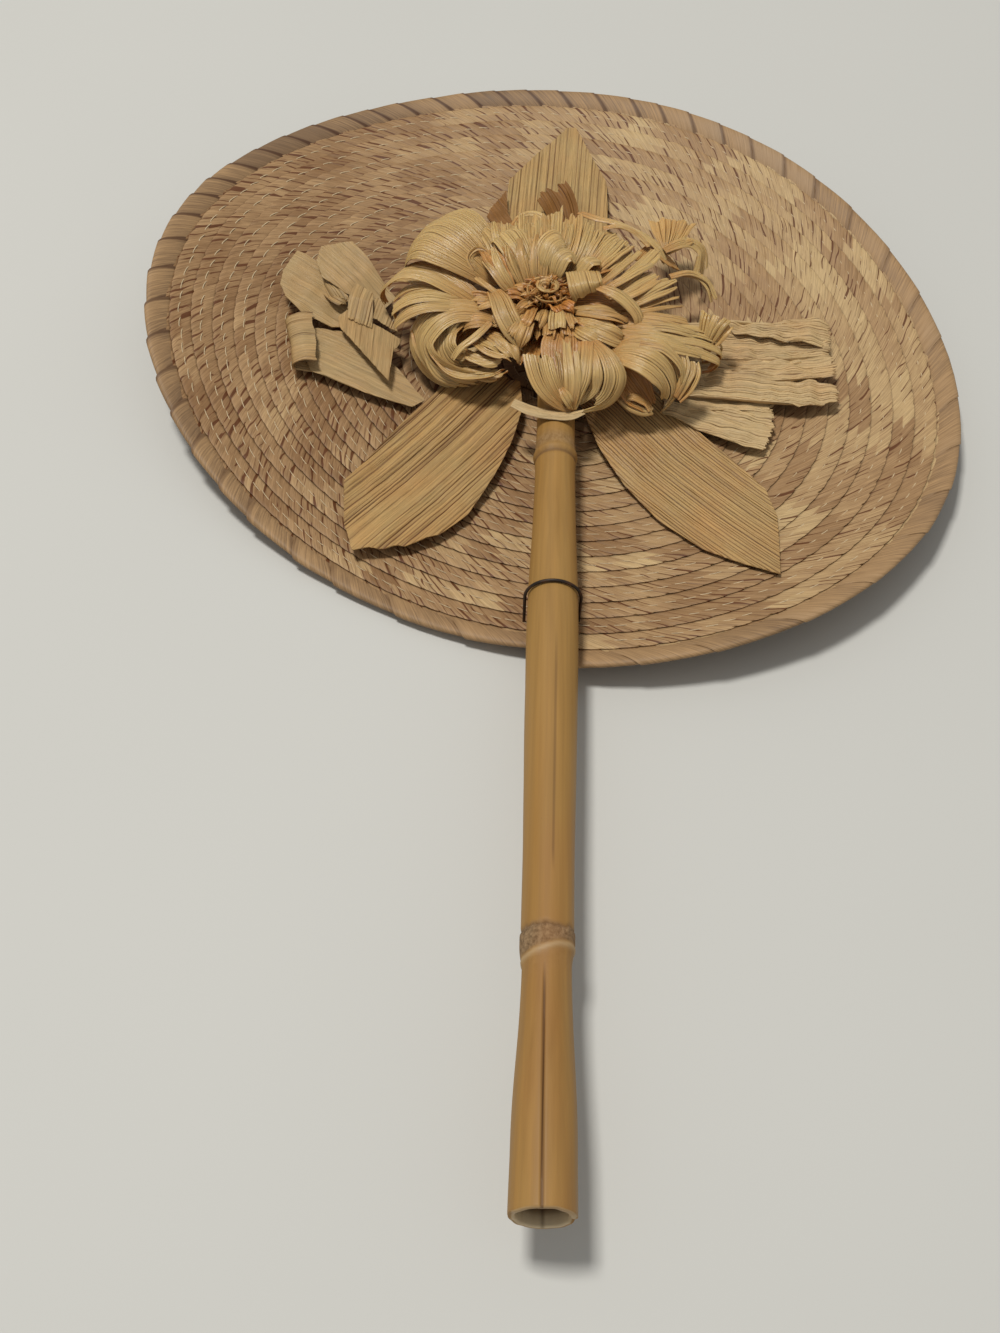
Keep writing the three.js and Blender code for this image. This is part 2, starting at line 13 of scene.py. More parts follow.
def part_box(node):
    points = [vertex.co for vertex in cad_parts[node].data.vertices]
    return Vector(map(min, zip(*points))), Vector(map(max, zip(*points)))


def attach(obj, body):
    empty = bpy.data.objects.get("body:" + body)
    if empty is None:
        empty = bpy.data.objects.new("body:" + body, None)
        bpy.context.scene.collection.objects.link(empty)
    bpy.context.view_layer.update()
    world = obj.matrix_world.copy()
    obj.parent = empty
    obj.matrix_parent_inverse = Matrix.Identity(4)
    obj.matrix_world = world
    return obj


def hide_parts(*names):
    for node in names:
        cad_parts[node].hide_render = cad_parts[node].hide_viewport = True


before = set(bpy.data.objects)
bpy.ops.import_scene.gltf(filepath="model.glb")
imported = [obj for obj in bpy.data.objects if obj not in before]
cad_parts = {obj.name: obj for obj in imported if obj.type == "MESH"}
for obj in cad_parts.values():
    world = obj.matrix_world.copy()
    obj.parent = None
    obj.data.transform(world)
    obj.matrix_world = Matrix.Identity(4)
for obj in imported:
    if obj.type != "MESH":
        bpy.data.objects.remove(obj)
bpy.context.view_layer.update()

bl_info = {
    "name": "Palm leaf fan",
    "version": (1, 0, 0),
    "blender": (4, 5, 0),
    "location": "View3D > Sidebar > Fan",
    "description": "Models a plaited hand fan with a bamboo stick and a husk flower",
    "category": "Add Mesh",
}

MM = 0.001
TAU = 2 * math.pi

# The plate's surface, as in the part's source
PLATE_X, PLATE_Y, PLATE_Z = -0.845, 100.246, 3.766
TILT, DISH, RIPPLE = 12.4, 16.0, 5.4
OVAL, OVAL_TURN = 0.0685, math.radians(-30.9)
LOBE, LOBE_TURN = 0.008, math.radians(50.6)
BRAID_SLOPE = 0.21875  # each round leans on the next one out
PLATE_HALF = 1.759  # half the plate's depth
PLATE_RADIUS = 156.0
OUTER_CENTRE = 153.6  # reach of the braid's middle line at its outer end
ROUNDS = 18.16
START_TURN = -TAU / 4
BRAID_SHEET, RIM_SHEET = 0.0009, 0.0006  # thickness in metres
BRAID_RISE = 0.45  # of the braid's upper face over its middle
FLOOR_GAP = 0.02  # nothing of the plate lies lower

# The rim binding's section, outwards from the braid's middle line and upwards
RIM_SECTION = np.array([
    (-2.6, 0.45), (-1.3, 1.12), (0.6, 1.54), (2.6, 1.74), (4.4, 1.6), (5.6, 1.15), (6.25, 0.45),
    (6.4, -0.3), (6.0, -1.0), (4.8, -1.5), (2.4, -1.68), (0.2, -1.68), (-1.6, -1.6), (-2.15, -1.3)])

# The stick's axis, from the open mouth to the end under the flower
MOUTH = np.array([3.155, -254.158, 26.541])
STICK_LEAN = math.asin(-0.03356)
STICK_LENGTH = 366.6
BORE = 72.0
WALL = 2.0
STICK_RADII = [
    (0, 9.45), (20, 9.3), (75, 7.4), (82, 8.05), (90, 8.05), (204, 8.95), (283, 7.5),
    (289.5, 7.85), (296, 7.35), (STICK_LENGTH, 7.35),
]
LOWER_NODE, LOWER_NODE_TOP = 79.5, 86.0  # the scurfy scar lies between them
UPPER_NODE, UPPER_RIDGE, UPPER_SCURF = 288.2, 290.8, 295.0
WIRE_STEPS = 2  # bevel steps of wire and twine

# The flower's middle, the height of its foot, and how far husk lies clear of the plate
FLOWER = np.array([-2.845, 107.246])
FLOWER_FOOT = 22.6
HUSK_GAP = 0.7

# First seed of each kind of husk
STRIP_SEED, FILL_SEED, SHRED_SEED, CURL_SEED, STEM_SEED = 100, 401, 600, 660, 700
LEAF_SEED, CUT_SEED, FREE_SEED = 50, 73, 800

# Camera and lamp: places in metres, pitch, yaw and roll in degrees
CAMERA_AT, CAMERA_TURN, CAMERA_LENS = (-0.014125, -0.401614, 0.466246), (52.992, -0.049, 2.344), 44.56
LAMP_AT, LAMP_AIM = (-0.72, 0.2, 2.9), (0, 0.05, 0)

# How the strips of the top petal's fan are torn
TOP_FAN = dict(rag=0.22, crinkle=0.8, spread=5, split=0.5)

# Husk strips of the flower, in the order they are laid: x, y, z and width along each, and its shape
STRIPS = [
    ("petal_upper_left", [
        ([(-20.1, 119.3, 31, 12), (-28.5, 127.4, 37, 24), (-37.7, 134.9, 41, 33), (-46.5, 141.2, 40.5, 37),
          (-53.6, 144, 35, 37), (-57.9, 144.2, 27, 33), (-57.2, 143.9, 18, 28)],
         dict(cup=0.4, crinkle=0.5, shreds=3, split=0.6)),
        ([(-21.1, 122.9, 34, 5), (-22.6, 129, 38, 6), (-25.6, 135, 40, 6), (-29.5, 141.1, 39, 5),
          (-32.4, 142.8, 36, 3)], dict(cup=0.4, tint=0.1)),
        ([(-20, 125.5, 36, 3), (-21.9, 130.3, 40, 4), (-23.7, 136.4, 42.5, 3.4), (-24.8, 142.6, 43, 0.8)],
         dict(cup=0.5)),
        ([(-30.6, 121.1, 35, 3), (-33.2, 125.2, 38, 3), (-30.2, 127.3, 40, 3), (-26.5, 125.7, 39.5, 3),
          (-26.7, 121.4, 37, 2.4)], dict(tint=0.15)),
        ([(-22.1, 120.3, 31, 6), (-24.6, 130.1, 36, 11), (-26.8, 145.1, 36, 14), (-28.9, 159.1, 32, 13)],
         dict(cup=0.5, tint=0.2, rag=0.2)),
    ]),
    ("petal_left", [
        ([(-28.3, 106.1, 30, 9), (-39.3, 103.1, 36, 15), (-49.9, 103, 37, 20), (-58.6, 102.5, 33.5, 22),
          (-63.4, 101.4, 27, 20), (-61.5, 100.1, 20, 17)], dict(shreds=4, spread=1, crinkle=0.5, split=0.35)),
        ([(-30.7, 104.8, 33, 5), (-39.5, 107.8, 37, 7), (-50, 111.4, 40, 9), (-59.2, 113.2, 39, 9),
          (-65.3, 113.4, 34, 8), (-67.9, 114.3, 27, 6), (-64.7, 111.9, 21, 4)],
         dict(cup=0.5, roll=(0, -30), shreds=2, spread=1, split=0.5)),
        ([(-32.2, 102.9, 32, 4), (-40.1, 102.5, 35, 6), (-47.8, 100.8, 36, 6), (-54.8, 98.6, 34, 5),
          (-58.6, 96.5, 29, 4)], dict(cup=0.4)),
    ]),
    ("petal_lower_left", [
        ([(-18.1, 95.5, 31, 8), (-28.8, 96.7, 35, 11), (-39.7, 94.9, 36, 13), (-47.2, 90.9, 33, 15),
          (-51, 87, 27, 16), (-48, 81.8, 21, 17), (-39.5, 77, 18, 16), (-27.7, 75.4, 17.5, 11),
          (-17.2, 76.1, 18.5, 5)], dict(cup=0.15, shreds=4, spread=1, crinkle=0.6)),
        ([(-44.6, 84.5, 25, 9), (-38.1, 80.8, 22.5, 15), (-29.5, 79, 22.5, 18), (-20.9, 79.6, 24, 17),
          (-14, 79.6, 26.5, 13)], dict(cup=-0.4, shreds=4, spread=5, crinkle=1.1, rag=0.25, split=0.35)),
        ([(-23.9, 90.6, 35, 3), (-29.8, 83.9, 33, 3.5), (-35.8, 79.5, 30, 3), (-38, 77, 27, 2)], {}),
        ([(-31.1, 96, 34, 6), (-38.4, 93.2, 34.5, 8), (-42.1, 88.8, 31.5, 8), (-43.1, 85.2, 27, 6)],
         dict(cup=0.4, shreds=2, spread=3, crinkle=0.6)),
        ([(-23.2, 93.5, 34, 8), (-29.1, 93.2, 35.5, 10), (-33.3, 92.3, 34, 9), (-35.9, 90.9, 30, 4)],
         dict(cup=0.4, tint=0.4, rag=0.2)),
        ([(-23.7, 88.2, 31, 5), (-18.5, 84, 31.5, 7.5), (-14.5, 79.6, 30, 7), (-12.3, 76.2, 26, 3)],
         dict(cup=0.4, tint=0.2, rag=0.3, crinkle=0.9)),
        ([(-29.9, 86.7, 30, 5), (-23.5, 81.4, 30.5, 8), (-17.6, 79.4, 29.5, 8), (-12.8, 77.9, 27, 5)],
         dict(tint=0.15, rag=0.4, shreds=3, spread=8, crinkle=0.9)),
        ([(-34.4, 82.9, 27, 4), (-28.8, 79.2, 27, 6), (-23.3, 77.9, 27, 6), (-18.3, 78.8, 28, 4)],
         dict(cup=0.4, rag=0.4, crinkle=0.9)),
        ([(-30.9, 76.6, 22, 5), (-24.6, 74.2, 23, 7), (-19.2, 74.1, 25, 6), (-15.4, 75, 27, 3)],
         dict(rag=0.4, shreds=2, spread=6, crinkle=0.8)),
        ([(-53.7, 93.2, 27, 3), (-51.8, 87.4, 24, 3.4), (-47.7, 82.9, 20, 3.4), (-42, 79.7, 17, 3)], {}),
    ]),
    ("petal_lower", [
        ([(8.5, 54.8, 24, 3), (4.4, 57.4, 28, 10), (0.3, 61.7, 33.5, 17), (-1.9, 68.3, 37.5, 19),
          (-2.9, 76, 39.5, 17)], dict(shreds=4, spread=1, crinkle=0.5, rag=0.1, split=0.5)),
        ([(8.4, 54.3, 25, 3), (8.5, 56.1, 30.5, 5), (8.5, 60.6, 35.5, 6.5), (7.5, 68.8, 39, 6.5),
          (6.6, 78.3, 41, 5)], dict(rag=0.12, shreds=2, spread=2)),
        ([(13.2, 77.5, 39, 6), (12.8, 67.5, 38.5, 6), (12, 60.3, 35, 6), (10.1, 56.7, 29, 4),
          (9.2, 54.3, 25, 2)], dict(cup=0.4, rag=0.1)),
        ([(15.5, 78.8, 38, 8), (20.4, 69.1, 38.5, 14), (22.5, 62, 35, 17), (20.3, 58.4, 29, 14),
          (14.5, 56.3, 25.5, 7), (10, 54.9, 24, 3)], dict(cup=0.8, shreds=3, crinkle=0.5, split=0.2)),
        ([(4.2, 57.6, 33, 2), (5.8, 55.5, 32, 4), (7.4, 53.9, 30, 4), (9.2, 53.8, 26, 2)], dict(rag=0.3)),
        ([(-4.8, 63.5, 29, 3), (-1.2, 59.2, 27, 5), (3.4, 56.7, 25.5, 5), (8.9, 54.8, 24.5, 3)],
         dict(tint=0.25)),
        ([(5.3, 87.2, 34, 14), (4.7, 81.4, 33, 17), (4.9, 75.2, 30, 16), (6.4, 66.8, 26, 10)],
         dict(cup=-0.3, tint=0.6)),
    ]),
    ("petal_lower_right", [
        ([(21.4, 79.6, 31, 10), (29.4, 77.4, 36.5, 17), (38.8, 73.5, 37.5, 21), (46.1, 70.5, 32.5, 21),
          (48.6, 66.5, 26, 15), (45.7, 63.3, 20, 9), (41.2, 59.6, 18.5, 3)],
         dict(cup=0.35, shreds=3, spread=1, crinkle=0.5, split=0.45)),
        ([(23.9, 77.4, 29, 12), (28.7, 72, 26, 16), (33.7, 68.2, 21.5, 15), (39.4, 63.9, 18, 8)],
         dict(cup=-0.6, tint=0.6)),
        ([(25.8, 67.2, 23, 4), (31.4, 63, 21, 5), (36.9, 62.2, 19, 5), (40.8, 62.4, 19, 3)], dict(cup=0.5)),
        ([(27.4, 65.1, 22, 3), (32.7, 65.4, 23, 4), (37.5, 64.5, 21, 4), (40, 61.8, 19, 2.6)],
         dict(cup=0.5, tint=0.3)),
        ([(33.9, 78.8, 38, 4), (43.9, 76.6, 37.5, 4.6), (50.3, 71.9, 33.5, 4), (51.6, 67.9, 27, 3)],
         dict(cup=0.4)),
        ([(48, 65.3, 24, 3), (50.7, 69, 29, 3), (52, 73.6, 32, 3), (51.2, 77.5, 34, 2.6)],
         dict(cup=0.4, rag=0.1)),
        ([(48.9, 65.3, 23, 3), (52.3, 68.5, 28, 3), (54.4, 72.6, 31, 3), (53.9, 76.6, 33, 2.4)],
         dict(cup=0.4, rag=0.1)),
        ([(49.8, 65.3, 22, 3), (54.1, 68, 26, 3), (56.4, 71.6, 30, 2.6), (56, 76.6, 32, 1.6)], dict(cup=0.4)),
    ]),
    ("petal_right", [
        ([(23.9, 94.6, 31, 10), (36.5, 91.4, 33.5, 14), (50.3, 91.1, 32, 16), (61.6, 91.7, 29, 16),
          (67.8, 92.4, 24, 14), (65.4, 92.5, 18, 12), (57.9, 93, 14.5, 9)],
         dict(cup=0.4, shreds=4, spread=3, split=0.25)),
        ([(26.9, 89.1, 32, 6), (37.5, 86.3, 34, 9), (48.4, 84.7, 33, 9), (58.4, 86.3, 28, 7),
          (62.3, 87.4, 22, 4)], dict(cup=0.4, shreds=2, spread=3)),
        ([(30.1, 100.9, 32, 6), (42.6, 98.7, 33, 9), (54.7, 98.8, 30, 8), (60.3, 99.6, 26, 5)],
         dict(cup=0.4, tint=0.3, shreds=2, spread=5)),
        ([(34.8, 95.3, 32, 4), (43.1, 93.6, 34, 5), (51.8, 92.9, 33, 5), (61.1, 94.5, 28, 3)], dict(cup=0.4)),
        ([(60.4, 92.1, 26, 5), (61.6, 94.6, 30, 8), (63.2, 97.7, 34, 11), (65.5, 102.6, 36, 13)],
         dict(shreds=3, spread=8, rag=0.14, rib=2.0, deep=2.4)),
        ([(60.7, 92, 24, 4), (63.9, 94, 27, 5.5), (67.2, 96.7, 30, 7), (70, 101, 31, 7)],
         dict(shreds=2, spread=8, tint=0.2, rib=1.8, deep=2.0)),
    ]),
    ("petal_upper_right", [
        ([(18.1, 115.7, 36, 5), (25.1, 124, 38, 7.5), (32.5, 136.3, 37.5, 8)],
         dict(cup=0.2, shreds=3, spread=3, rag=0.12, crinkle=0.6)),
        ([(16.7, 120.5, 38, 5), (22.6, 128.2, 40, 8), (30.1, 139.9, 38.5, 8)],
         dict(shreds=3, spread=4, rag=0.15, crinkle=0.6)),
        ([(23, 112.3, 34, 5), (31.5, 119.6, 37.5, 6), (38.1, 129.2, 37.5, 6.5), (44.1, 140.1, 36, 6)],
         dict(cup=0.2, shreds=3, spread=2, rag=0.1)),
        ([(22.2, 111.1, 33, 5), (30, 114, 36, 6), (36.7, 119.3, 36.5, 6.5), (43, 125.8, 35, 5)],
         dict(cup=0.25, shreds=2, spread=4, rag=0.15)),
        ([(23.9, 106.4, 32, 5), (32.4, 107.6, 34.5, 7), (39.4, 112.2, 36, 9), (46, 118, 35, 8),
          (52.4, 123.9, 33, 2)], dict(shreds=3, spread=3, rag=0.1)),
        ([(26.3, 104.2, 31, 4), (35.6, 104.8, 33, 5), (44.5, 108.9, 32.5, 4.6), (52.7, 112.9, 31, 2.4)],
         dict(cup=0.35, shreds=2, spread=4, tint=0.2)),
        ([(21.1, 111.1, 37, 3), (28.1, 115.1, 39, 4), (34.6, 121.6, 39, 4.6), (40.5, 128.1, 37, 3)],
         dict(cup=0.4, rag=0.2)),
        ([(23.6, 106.4, 35, 3), (30.6, 108.1, 37, 4), (37.8, 114.5, 37, 4.4), (43.6, 120.9, 36, 3)],
         dict(cup=0.4, rag=0.2, tint=0.15)),
        ([(46, 138.3, 33, 2.4), (46.7, 142.8, 35, 8), (47.6, 149.3, 36, 15), (48.3, 158.3, 35.5, 22)],
         dict(cup=0.1, rag=0.22, rib=1.7, deep=2.0, tint=0.2)),
        ([(46.4, 139.6, 33, 2.4), (50, 143, 35, 7), (53.8, 147.7, 35.5, 12)],
         dict(cup=0.1, rag=0.2, rib=1.6, deep=2.0, tint=0.25)),
        ([(45, 138.3, 35, 3), (51.5, 141.9, 36, 4.6), (56.7, 144.7, 34, 6), (61.1, 144.3, 31, 8),
          (61.5, 139.1, 26, 9), (59.5, 133.7, 21, 8.5)],
         dict(cup=0.2, roll=(0, -45), shreds=4, spread=2, split=0.45, rag=0.1)),
        ([(47.2, 124.8, 33, 2.6), (55.4, 127.7, 33, 3), (63, 126.3, 30, 3), (67, 120.9, 25, 2.2)], {}),
        ([(52.3, 127.5, 32, 2), (58.8, 127.3, 31, 2.6), (63.1, 124.4, 28, 2.6), (65.1, 120.1, 24, 2)], {}),
        ([(35.3, 132.7, 33, 6), (42, 140.6, 33, 10), (47.2, 139.6, 30, 10), (52.5, 138.5, 26, 6)],
         dict(tint=0.4, rag=0.3)),
    ]),
    ("petal_top_right", [
        ([(12.8, 159.3, 36, 9), (18, 154.4, 38, 9), (25.3, 151, 38.5, 6), (32.7, 147, 38, 5),
          (39.3, 143.6, 36.5, 4.4), (44.3, 139.5, 34, 4), (46.6, 134.6, 30, 3)], dict(cup=0.6, roll=(35, 0))),
        ([(19.9, 144.3, 40, 2.2), (25.5, 145.3, 40.5, 2.6), (32.5, 144.5, 39, 2.8), (39.2, 138.6, 36, 2.6)],
         dict(cup=0.4, tint=0.2)),
        ([(13.5, 122.6, 33, 8), (18.7, 130.4, 38, 12), (22.7, 138.2, 39, 13), (26.2, 147.9, 37, 12)],
         dict(shreds=3, spread=5, rag=0.2, crinkle=0.8)),
        ([(14.8, 126.4, 37, 5), (19.8, 134.2, 40, 8), (24.3, 140.8, 40, 8), (29.4, 145.5, 37.5, 5)],
         dict(cup=0.4, shreds=2, spread=5, rag=0.2, crinkle=0.8)),
    ]),
    ("petal_top", [
        ([(-12.4, 123.4, 32, 5), (-16, 131.3, 38.5, 7), (-18.2, 139.6, 41, 7), (-18.9, 148.2, 39.5, 5.6)],
         dict(TOP_FAN, cup=-0.3, tint=0.1)),
        ([(-10, 123.6, 32, 5), (-12.6, 131.5, 38.5, 8), (-14.2, 141.8, 41, 8), (-14.8, 150.3, 41, 6.4)],
         dict(TOP_FAN, shreds=2)),
        ([(-7.4, 123.7, 32, 5), (-8.8, 131.7, 38.5, 9), (-9.8, 143.3, 41, 9), (-10.2, 152.6, 41.5, 7.2)],
         dict(TOP_FAN, cup=-0.3, tint=0.05, shreds=3)),
        ([(-4.7, 123.9, 32, 5), (-5.1, 132, 38.5, 8), (-5.3, 143, 41, 8), (-5.5, 150.9, 42, 6.4)],
         dict(TOP_FAN, tint=0.25)),
        ([(-2.3, 124.1, 32, 5), (-1.6, 132.2, 38.5, 9), (-1.3, 144.5, 41, 9), (-1.3, 153.8, 42, 7.2)],
         dict(TOP_FAN, cup=-0.3, shreds=2)),
        ([(0.3, 124.2, 32, 5), (2.1, 132.4, 38.5, 9), (3.2, 145.1, 41, 9), (3.4, 155.4, 41.5, 7.2)],
         dict(TOP_FAN, tint=0.1, shreds=3)),
        ([(3, 124.4, 32, 5), (5.9, 132.7, 38.5, 8), (7.6, 144.1, 41, 8), (8.1, 153.1, 41.5, 6.4)],
         dict(TOP_FAN, cup=-0.3, tint=0.2)),
        ([(5.6, 124.6, 32, 5), (9.6, 132.9, 38.5, 8), (12.1, 143.1, 41, 8), (12.8, 151.5, 41, 6.4)],
         dict(TOP_FAN, shreds=2)),
        ([(8.3, 124.7, 32, 5), (13.4, 133.2, 38.5, 8), (16.5, 141.5, 41, 8), (17.5, 148.6, 40.5, 6.4)],
         dict(TOP_FAN, cup=-0.3, tint=0.1, shreds=3)),
        ([(-17.1, 147, 37, 2.4), (-14.4, 149.1, 40, 2.6), (-9.5, 150.7, 41, 2.6), (-4.6, 148.4, 41, 2.6),
          (-1.6, 144.8, 38, 2.4)], {}),
    ]),
    ("inner_petal_3", [
        ([(-0.4, 116.9, 32, 5), (0.8, 118.2, 39, 8), (2.9, 122, 43, 10), (6.4, 124, 43.5, 10),
          (9.4, 123, 41, 8.5)], dict(cup=0.35)),
        ([(-4.5, 119, 32, 5), (-3.3, 122.8, 40, 9), (-0.4, 128.5, 44, 12), (3.1, 131.2, 44, 12),
          (5.3, 131.4, 41, 9)], dict(cup=0.35)),
        ([(-4.5, 116.6, 33, 4), (-4.8, 121.5, 38, 6), (-5, 127, 41.5, 6), (-4.5, 135.7, 43, 2)],
         dict(cup=-0.4, tint=0.35, rag=0.2)),
        ([(-7.3, 116.5, 33, 4), (-8, 121.3, 38, 6), (-8.6, 127.4, 41, 6), (-10, 134.1, 42.5, 3)],
         dict(cup=0.4, tint=0.2, rag=0.3)),
        ([(-2.5, 116.2, 33, 4), (-1.6, 121.7, 37, 6), (-2.2, 127.8, 40, 6), (-3.2, 132.7, 42, 4)],
         dict(cup=-0.3, tint=0.5, rag=0.3)),
    ]),
    ("inner_petal_2", [
        ([(4, 116.5, 32, 5), (9.9, 118.2, 39, 8), (14, 121.5, 42.5, 9), (17.7, 122.9, 41, 9),
          (18.7, 121.2, 38, 7)], dict(cup=0.4)),
        ([(7.9, 116.2, 33, 4), (13.2, 117.8, 37, 6), (17.9, 120.5, 38, 6), (22.8, 123.3, 37, 4)],
         dict(cup=-0.4, tint=0.55)),
    ]),
    ("inner_petal_1", [
        ([(10.9, 120.7, 35, 11), (11.4, 117.1, 40, 13), (12.1, 111, 42.6, 13.5), (13.3, 106.3, 41.6, 13.5),
          (14.8, 105.9, 37.5, 13)], dict(cup=0.1)),
        ([(5.7, 108.2, 31, 8), (13.5, 107, 33, 11), (21.4, 106.3, 33, 10), (27.2, 106.6, 30, 6)],
         dict(cup=-0.5, tint=0.65)),
        ([(7.2, 102.4, 33, 4), (14.9, 100, 36, 5), (21.9, 101, 36, 5), (28.5, 102, 33, 3)],
         dict(cup=0.4, tint=0.3, shreds=2, spread=4)),
    ]),
    ("inner_petal_8", [
        ([(17.8, 108.5, 40, 4), (23.6, 105.3, 40.5, 6), (30, 102.1, 38, 6.4), (34.7, 97.7, 33.5, 6),
          (33.6, 93.9, 27, 4)], dict(cup=0.35)),
        ([(8, 97.2, 33, 5), (16.4, 92.5, 36, 7), (23.5, 90.1, 35.5, 8), (30.1, 90.4, 31, 4)],
         dict(cup=0.5, shreds=2, spread=10, tint=0.2)),
        ([(12.7, 94, 34, 7), (18.7, 88.1, 36.5, 11), (25, 86.2, 35.5, 12), (30, 87.5, 31.5, 8)],
         dict(cup=0.5, tint=0.1, rag=0.2, crinkle=0.9)),
        ([(9.2, 91.5, 34, 6), (14.1, 85.5, 36.5, 9), (18.8, 83.5, 35.5, 9), (22.5, 83.7, 33, 5)],
         dict(cup=0.4, tint=0.15, rag=0.3, crinkle=0.9)),
        ([(10.3, 99.7, 34, 5), (17.2, 96.6, 36, 6), (24.3, 95.9, 35, 6), (30.9, 96.2, 31, 3)],
         dict(cup=-0.4, tint=0.35, shreds=2, spread=5)),
    ]),
    ("inner_petal_4", [
        ([(-10.4, 117.5, 32, 4), (-14.4, 121.5, 39, 6), (-18.6, 128, 42, 7), (-22, 133.4, 41.5, 7),
          (-24.4, 134.5, 38.5, 5)], dict(cup=0.35)),
        ([(-7.3, 118.3, 32, 4), (-10.9, 123.6, 40, 7), (-14.4, 130.7, 43, 9), (-18.1, 137.4, 42.5, 10),
          (-21.8, 140.3, 39.5, 8)], {}),
        ([(-9.6, 115.1, 32, 4), (-13.5, 119.7, 37, 6.5), (-16.9, 123.8, 41, 7), (-19, 127.3, 42.5, 4)],
         dict(cup=-0.7, tint=0.5)),
    ]),
    ("inner_petal_5", [
        ([(-15.4, 109.3, 31, 5), (-19.2, 113.9, 36, 8), (-23.9, 120.9, 39.5, 9), (-27.4, 127.4, 40, 7)],
         dict(cup=-0.8, tint=0.6)),
        ([(-18, 103.8, 33, 4), (-23.6, 102.3, 36, 6), (-29.1, 102, 36.5, 5), (-33, 102.3, 34, 3)],
         dict(cup=0.4, tint=0.3, rag=0.3)),
        ([(-14.3, 111.2, 33, 3), (-18.5, 114.6, 38, 4), (-22, 120.4, 41, 4), (-24.2, 126.4, 42.5, 2)],
         dict(cup=0.6, tint=0.1)),
        ([(-15, 108.8, 33, 3), (-20, 110.9, 38, 4), (-24.2, 116, 40.5, 4), (-27.9, 120.6, 41, 2)],
         dict(cup=0.6, tint=0.15)),
        ([(-14.9, 105.2, 33, 3), (-20.5, 104.9, 37, 4), (-25.8, 108.1, 39, 4), (-30.3, 112, 39, 2)],
         dict(cup=0.6, tint=0.2)),
    ]),
    ("inner_petal_4", [
        ([(-11.2, 113.8, 33, 3), (-14.6, 117.2, 38, 4), (-17.2, 121.3, 41.5, 4), (-18.7, 127.4, 43, 2)],
         dict(cup=0.6, tint=0.15)),
        ([(-8.8, 115.1, 33, 3), (-11.1, 119.3, 38.5, 4), (-13, 124.7, 42, 4), (-13.6, 132, 43.5, 2)],
         dict(cup=0.6, tint=0.25)),
    ]),
    ("inner_petal_3", [
        ([(-5.7, 116.6, 33, 3), (-6.8, 120.8, 38.5, 4), (-7, 126.3, 42, 4), (-6.9, 134.3, 44, 1.5)],
         dict(cup=0.6, tint=0.3)),
    ]),
    ("inner_petal_6", [
        ([(-14.1, 104.1, 33, 3), (-19.6, 99.6, 37, 4), (-24.6, 98.1, 38, 4), (-29.2, 97.3, 36, 2)],
         dict(cup=0.5, tint=0.3)),
        ([(-23, 106.5, 37.5, 6), (-20.4, 99.6, 39, 8.5), (-17.8, 92.2, 38, 9), (-14, 86.6, 34, 8),
          (-9.9, 82.2, 29, 2.6)], dict(cup=0.12, tint=0.18)),
        ([(-12.5, 103, 33, 5), (-17.9, 96.2, 35, 7), (-22.4, 92.4, 34, 6), (-26.2, 90.9, 30, 3)],
         dict(cup=0.4, tint=0.3, rag=0.3, crinkle=0.8)),
        ([(-10.4, 99.6, 33, 5), (-13, 90.1, 36, 7), (-16, 85.3, 34.5, 6), (-17.3, 84, 30, 3)],
         dict(cup=0.4, tint=0.25, rag=0.3, crinkle=0.8)),
        ([(-9.2, 95, 34, 5), (-9.9, 86.9, 36, 6), (-11.2, 83.3, 34, 6), (-12.2, 82, 30, 4)],
         dict(cup=-0.4, tint=0.4, rag=0.3)),
    ]),
    ("inner_petal_7", [
        ([(2, 102.1, 34, 4), (2, 94, 37.5, 6), (2, 88.8, 38, 7), (2.1, 85.9, 36, 6.5)],
         dict(cup=0.1, rag=0.12, crinkle=0.4, tint=0.05)),
        ([(-2.6, 100.6, 34, 3.4), (-3.8, 92.4, 37, 4.6), (-4.9, 88.3, 36.5, 4.6), (-5.5, 87.1, 33, 3)],
         dict(cup=0.5, tint=0.35, rag=0.35, crinkle=0.9, roll=(0, 35))),
        ([(-7, 101.6, 34, 3), (-8.5, 92.7, 37.5, 4.4), (-9.9, 89.2, 37, 4.4), (-11, 87.9, 34, 3)],
         dict(cup=-0.3, tint=0.45, rag=0.35, crinkle=0.9, roll=(0, -30))),
        ([(6.4, 100, 34, 3.4), (7.8, 92, 37, 5), (9.1, 88.6, 36.5, 5), (10.4, 87.5, 34, 3)],
         dict(cup=0.5, tint=0.3, rag=0.35, crinkle=0.9, roll=(0, 40))),
        ([(-0.6, 96.7, 33, 4), (-1, 88.6, 35.5, 5.6), (-1.3, 84.5, 35, 5.6), (-1.5, 83.9, 32, 4)],
         dict(cup=0.4, tint=0.4, rag=0.35, crinkle=0.9, roll=(0, -25))),
        ([(5.7, 94.7, 33, 4), (6.1, 87.8, 35, 5.6), (6.5, 85, 34, 5), (7.1, 84.4, 31.5, 3)],
         dict(cup=-0.4, tint=0.5, rag=0.35, crinkle=0.9)),
    ]),
    ("petal_lower_left", [
        ([(-34.9, 93.4, 33, 6), (-40.9, 89.5, 31, 12), (-42.6, 83.5, 27.5, 15), (-39.2, 79, 23.5, 16),
          (-31, 77.7, 21.5, 13)], dict(cup=-0.2, shreds=3, spread=2, crinkle=0.6, split=0.5)),
        ([(-27.3, 100.7, 28, 12), (-35.1, 97.8, 26, 18), (-38.8, 92.8, 23, 20), (-36.9, 87, 20, 18)],
         dict(cup=0.2, tint=0.6, rag=0.1)),
    ]),
    ("petal_left", [
        ([(-28.4, 109, 29, 8), (-38.7, 115.1, 32, 14), (-49.8, 121.1, 33, 17), (-59, 125.4, 30, 16),
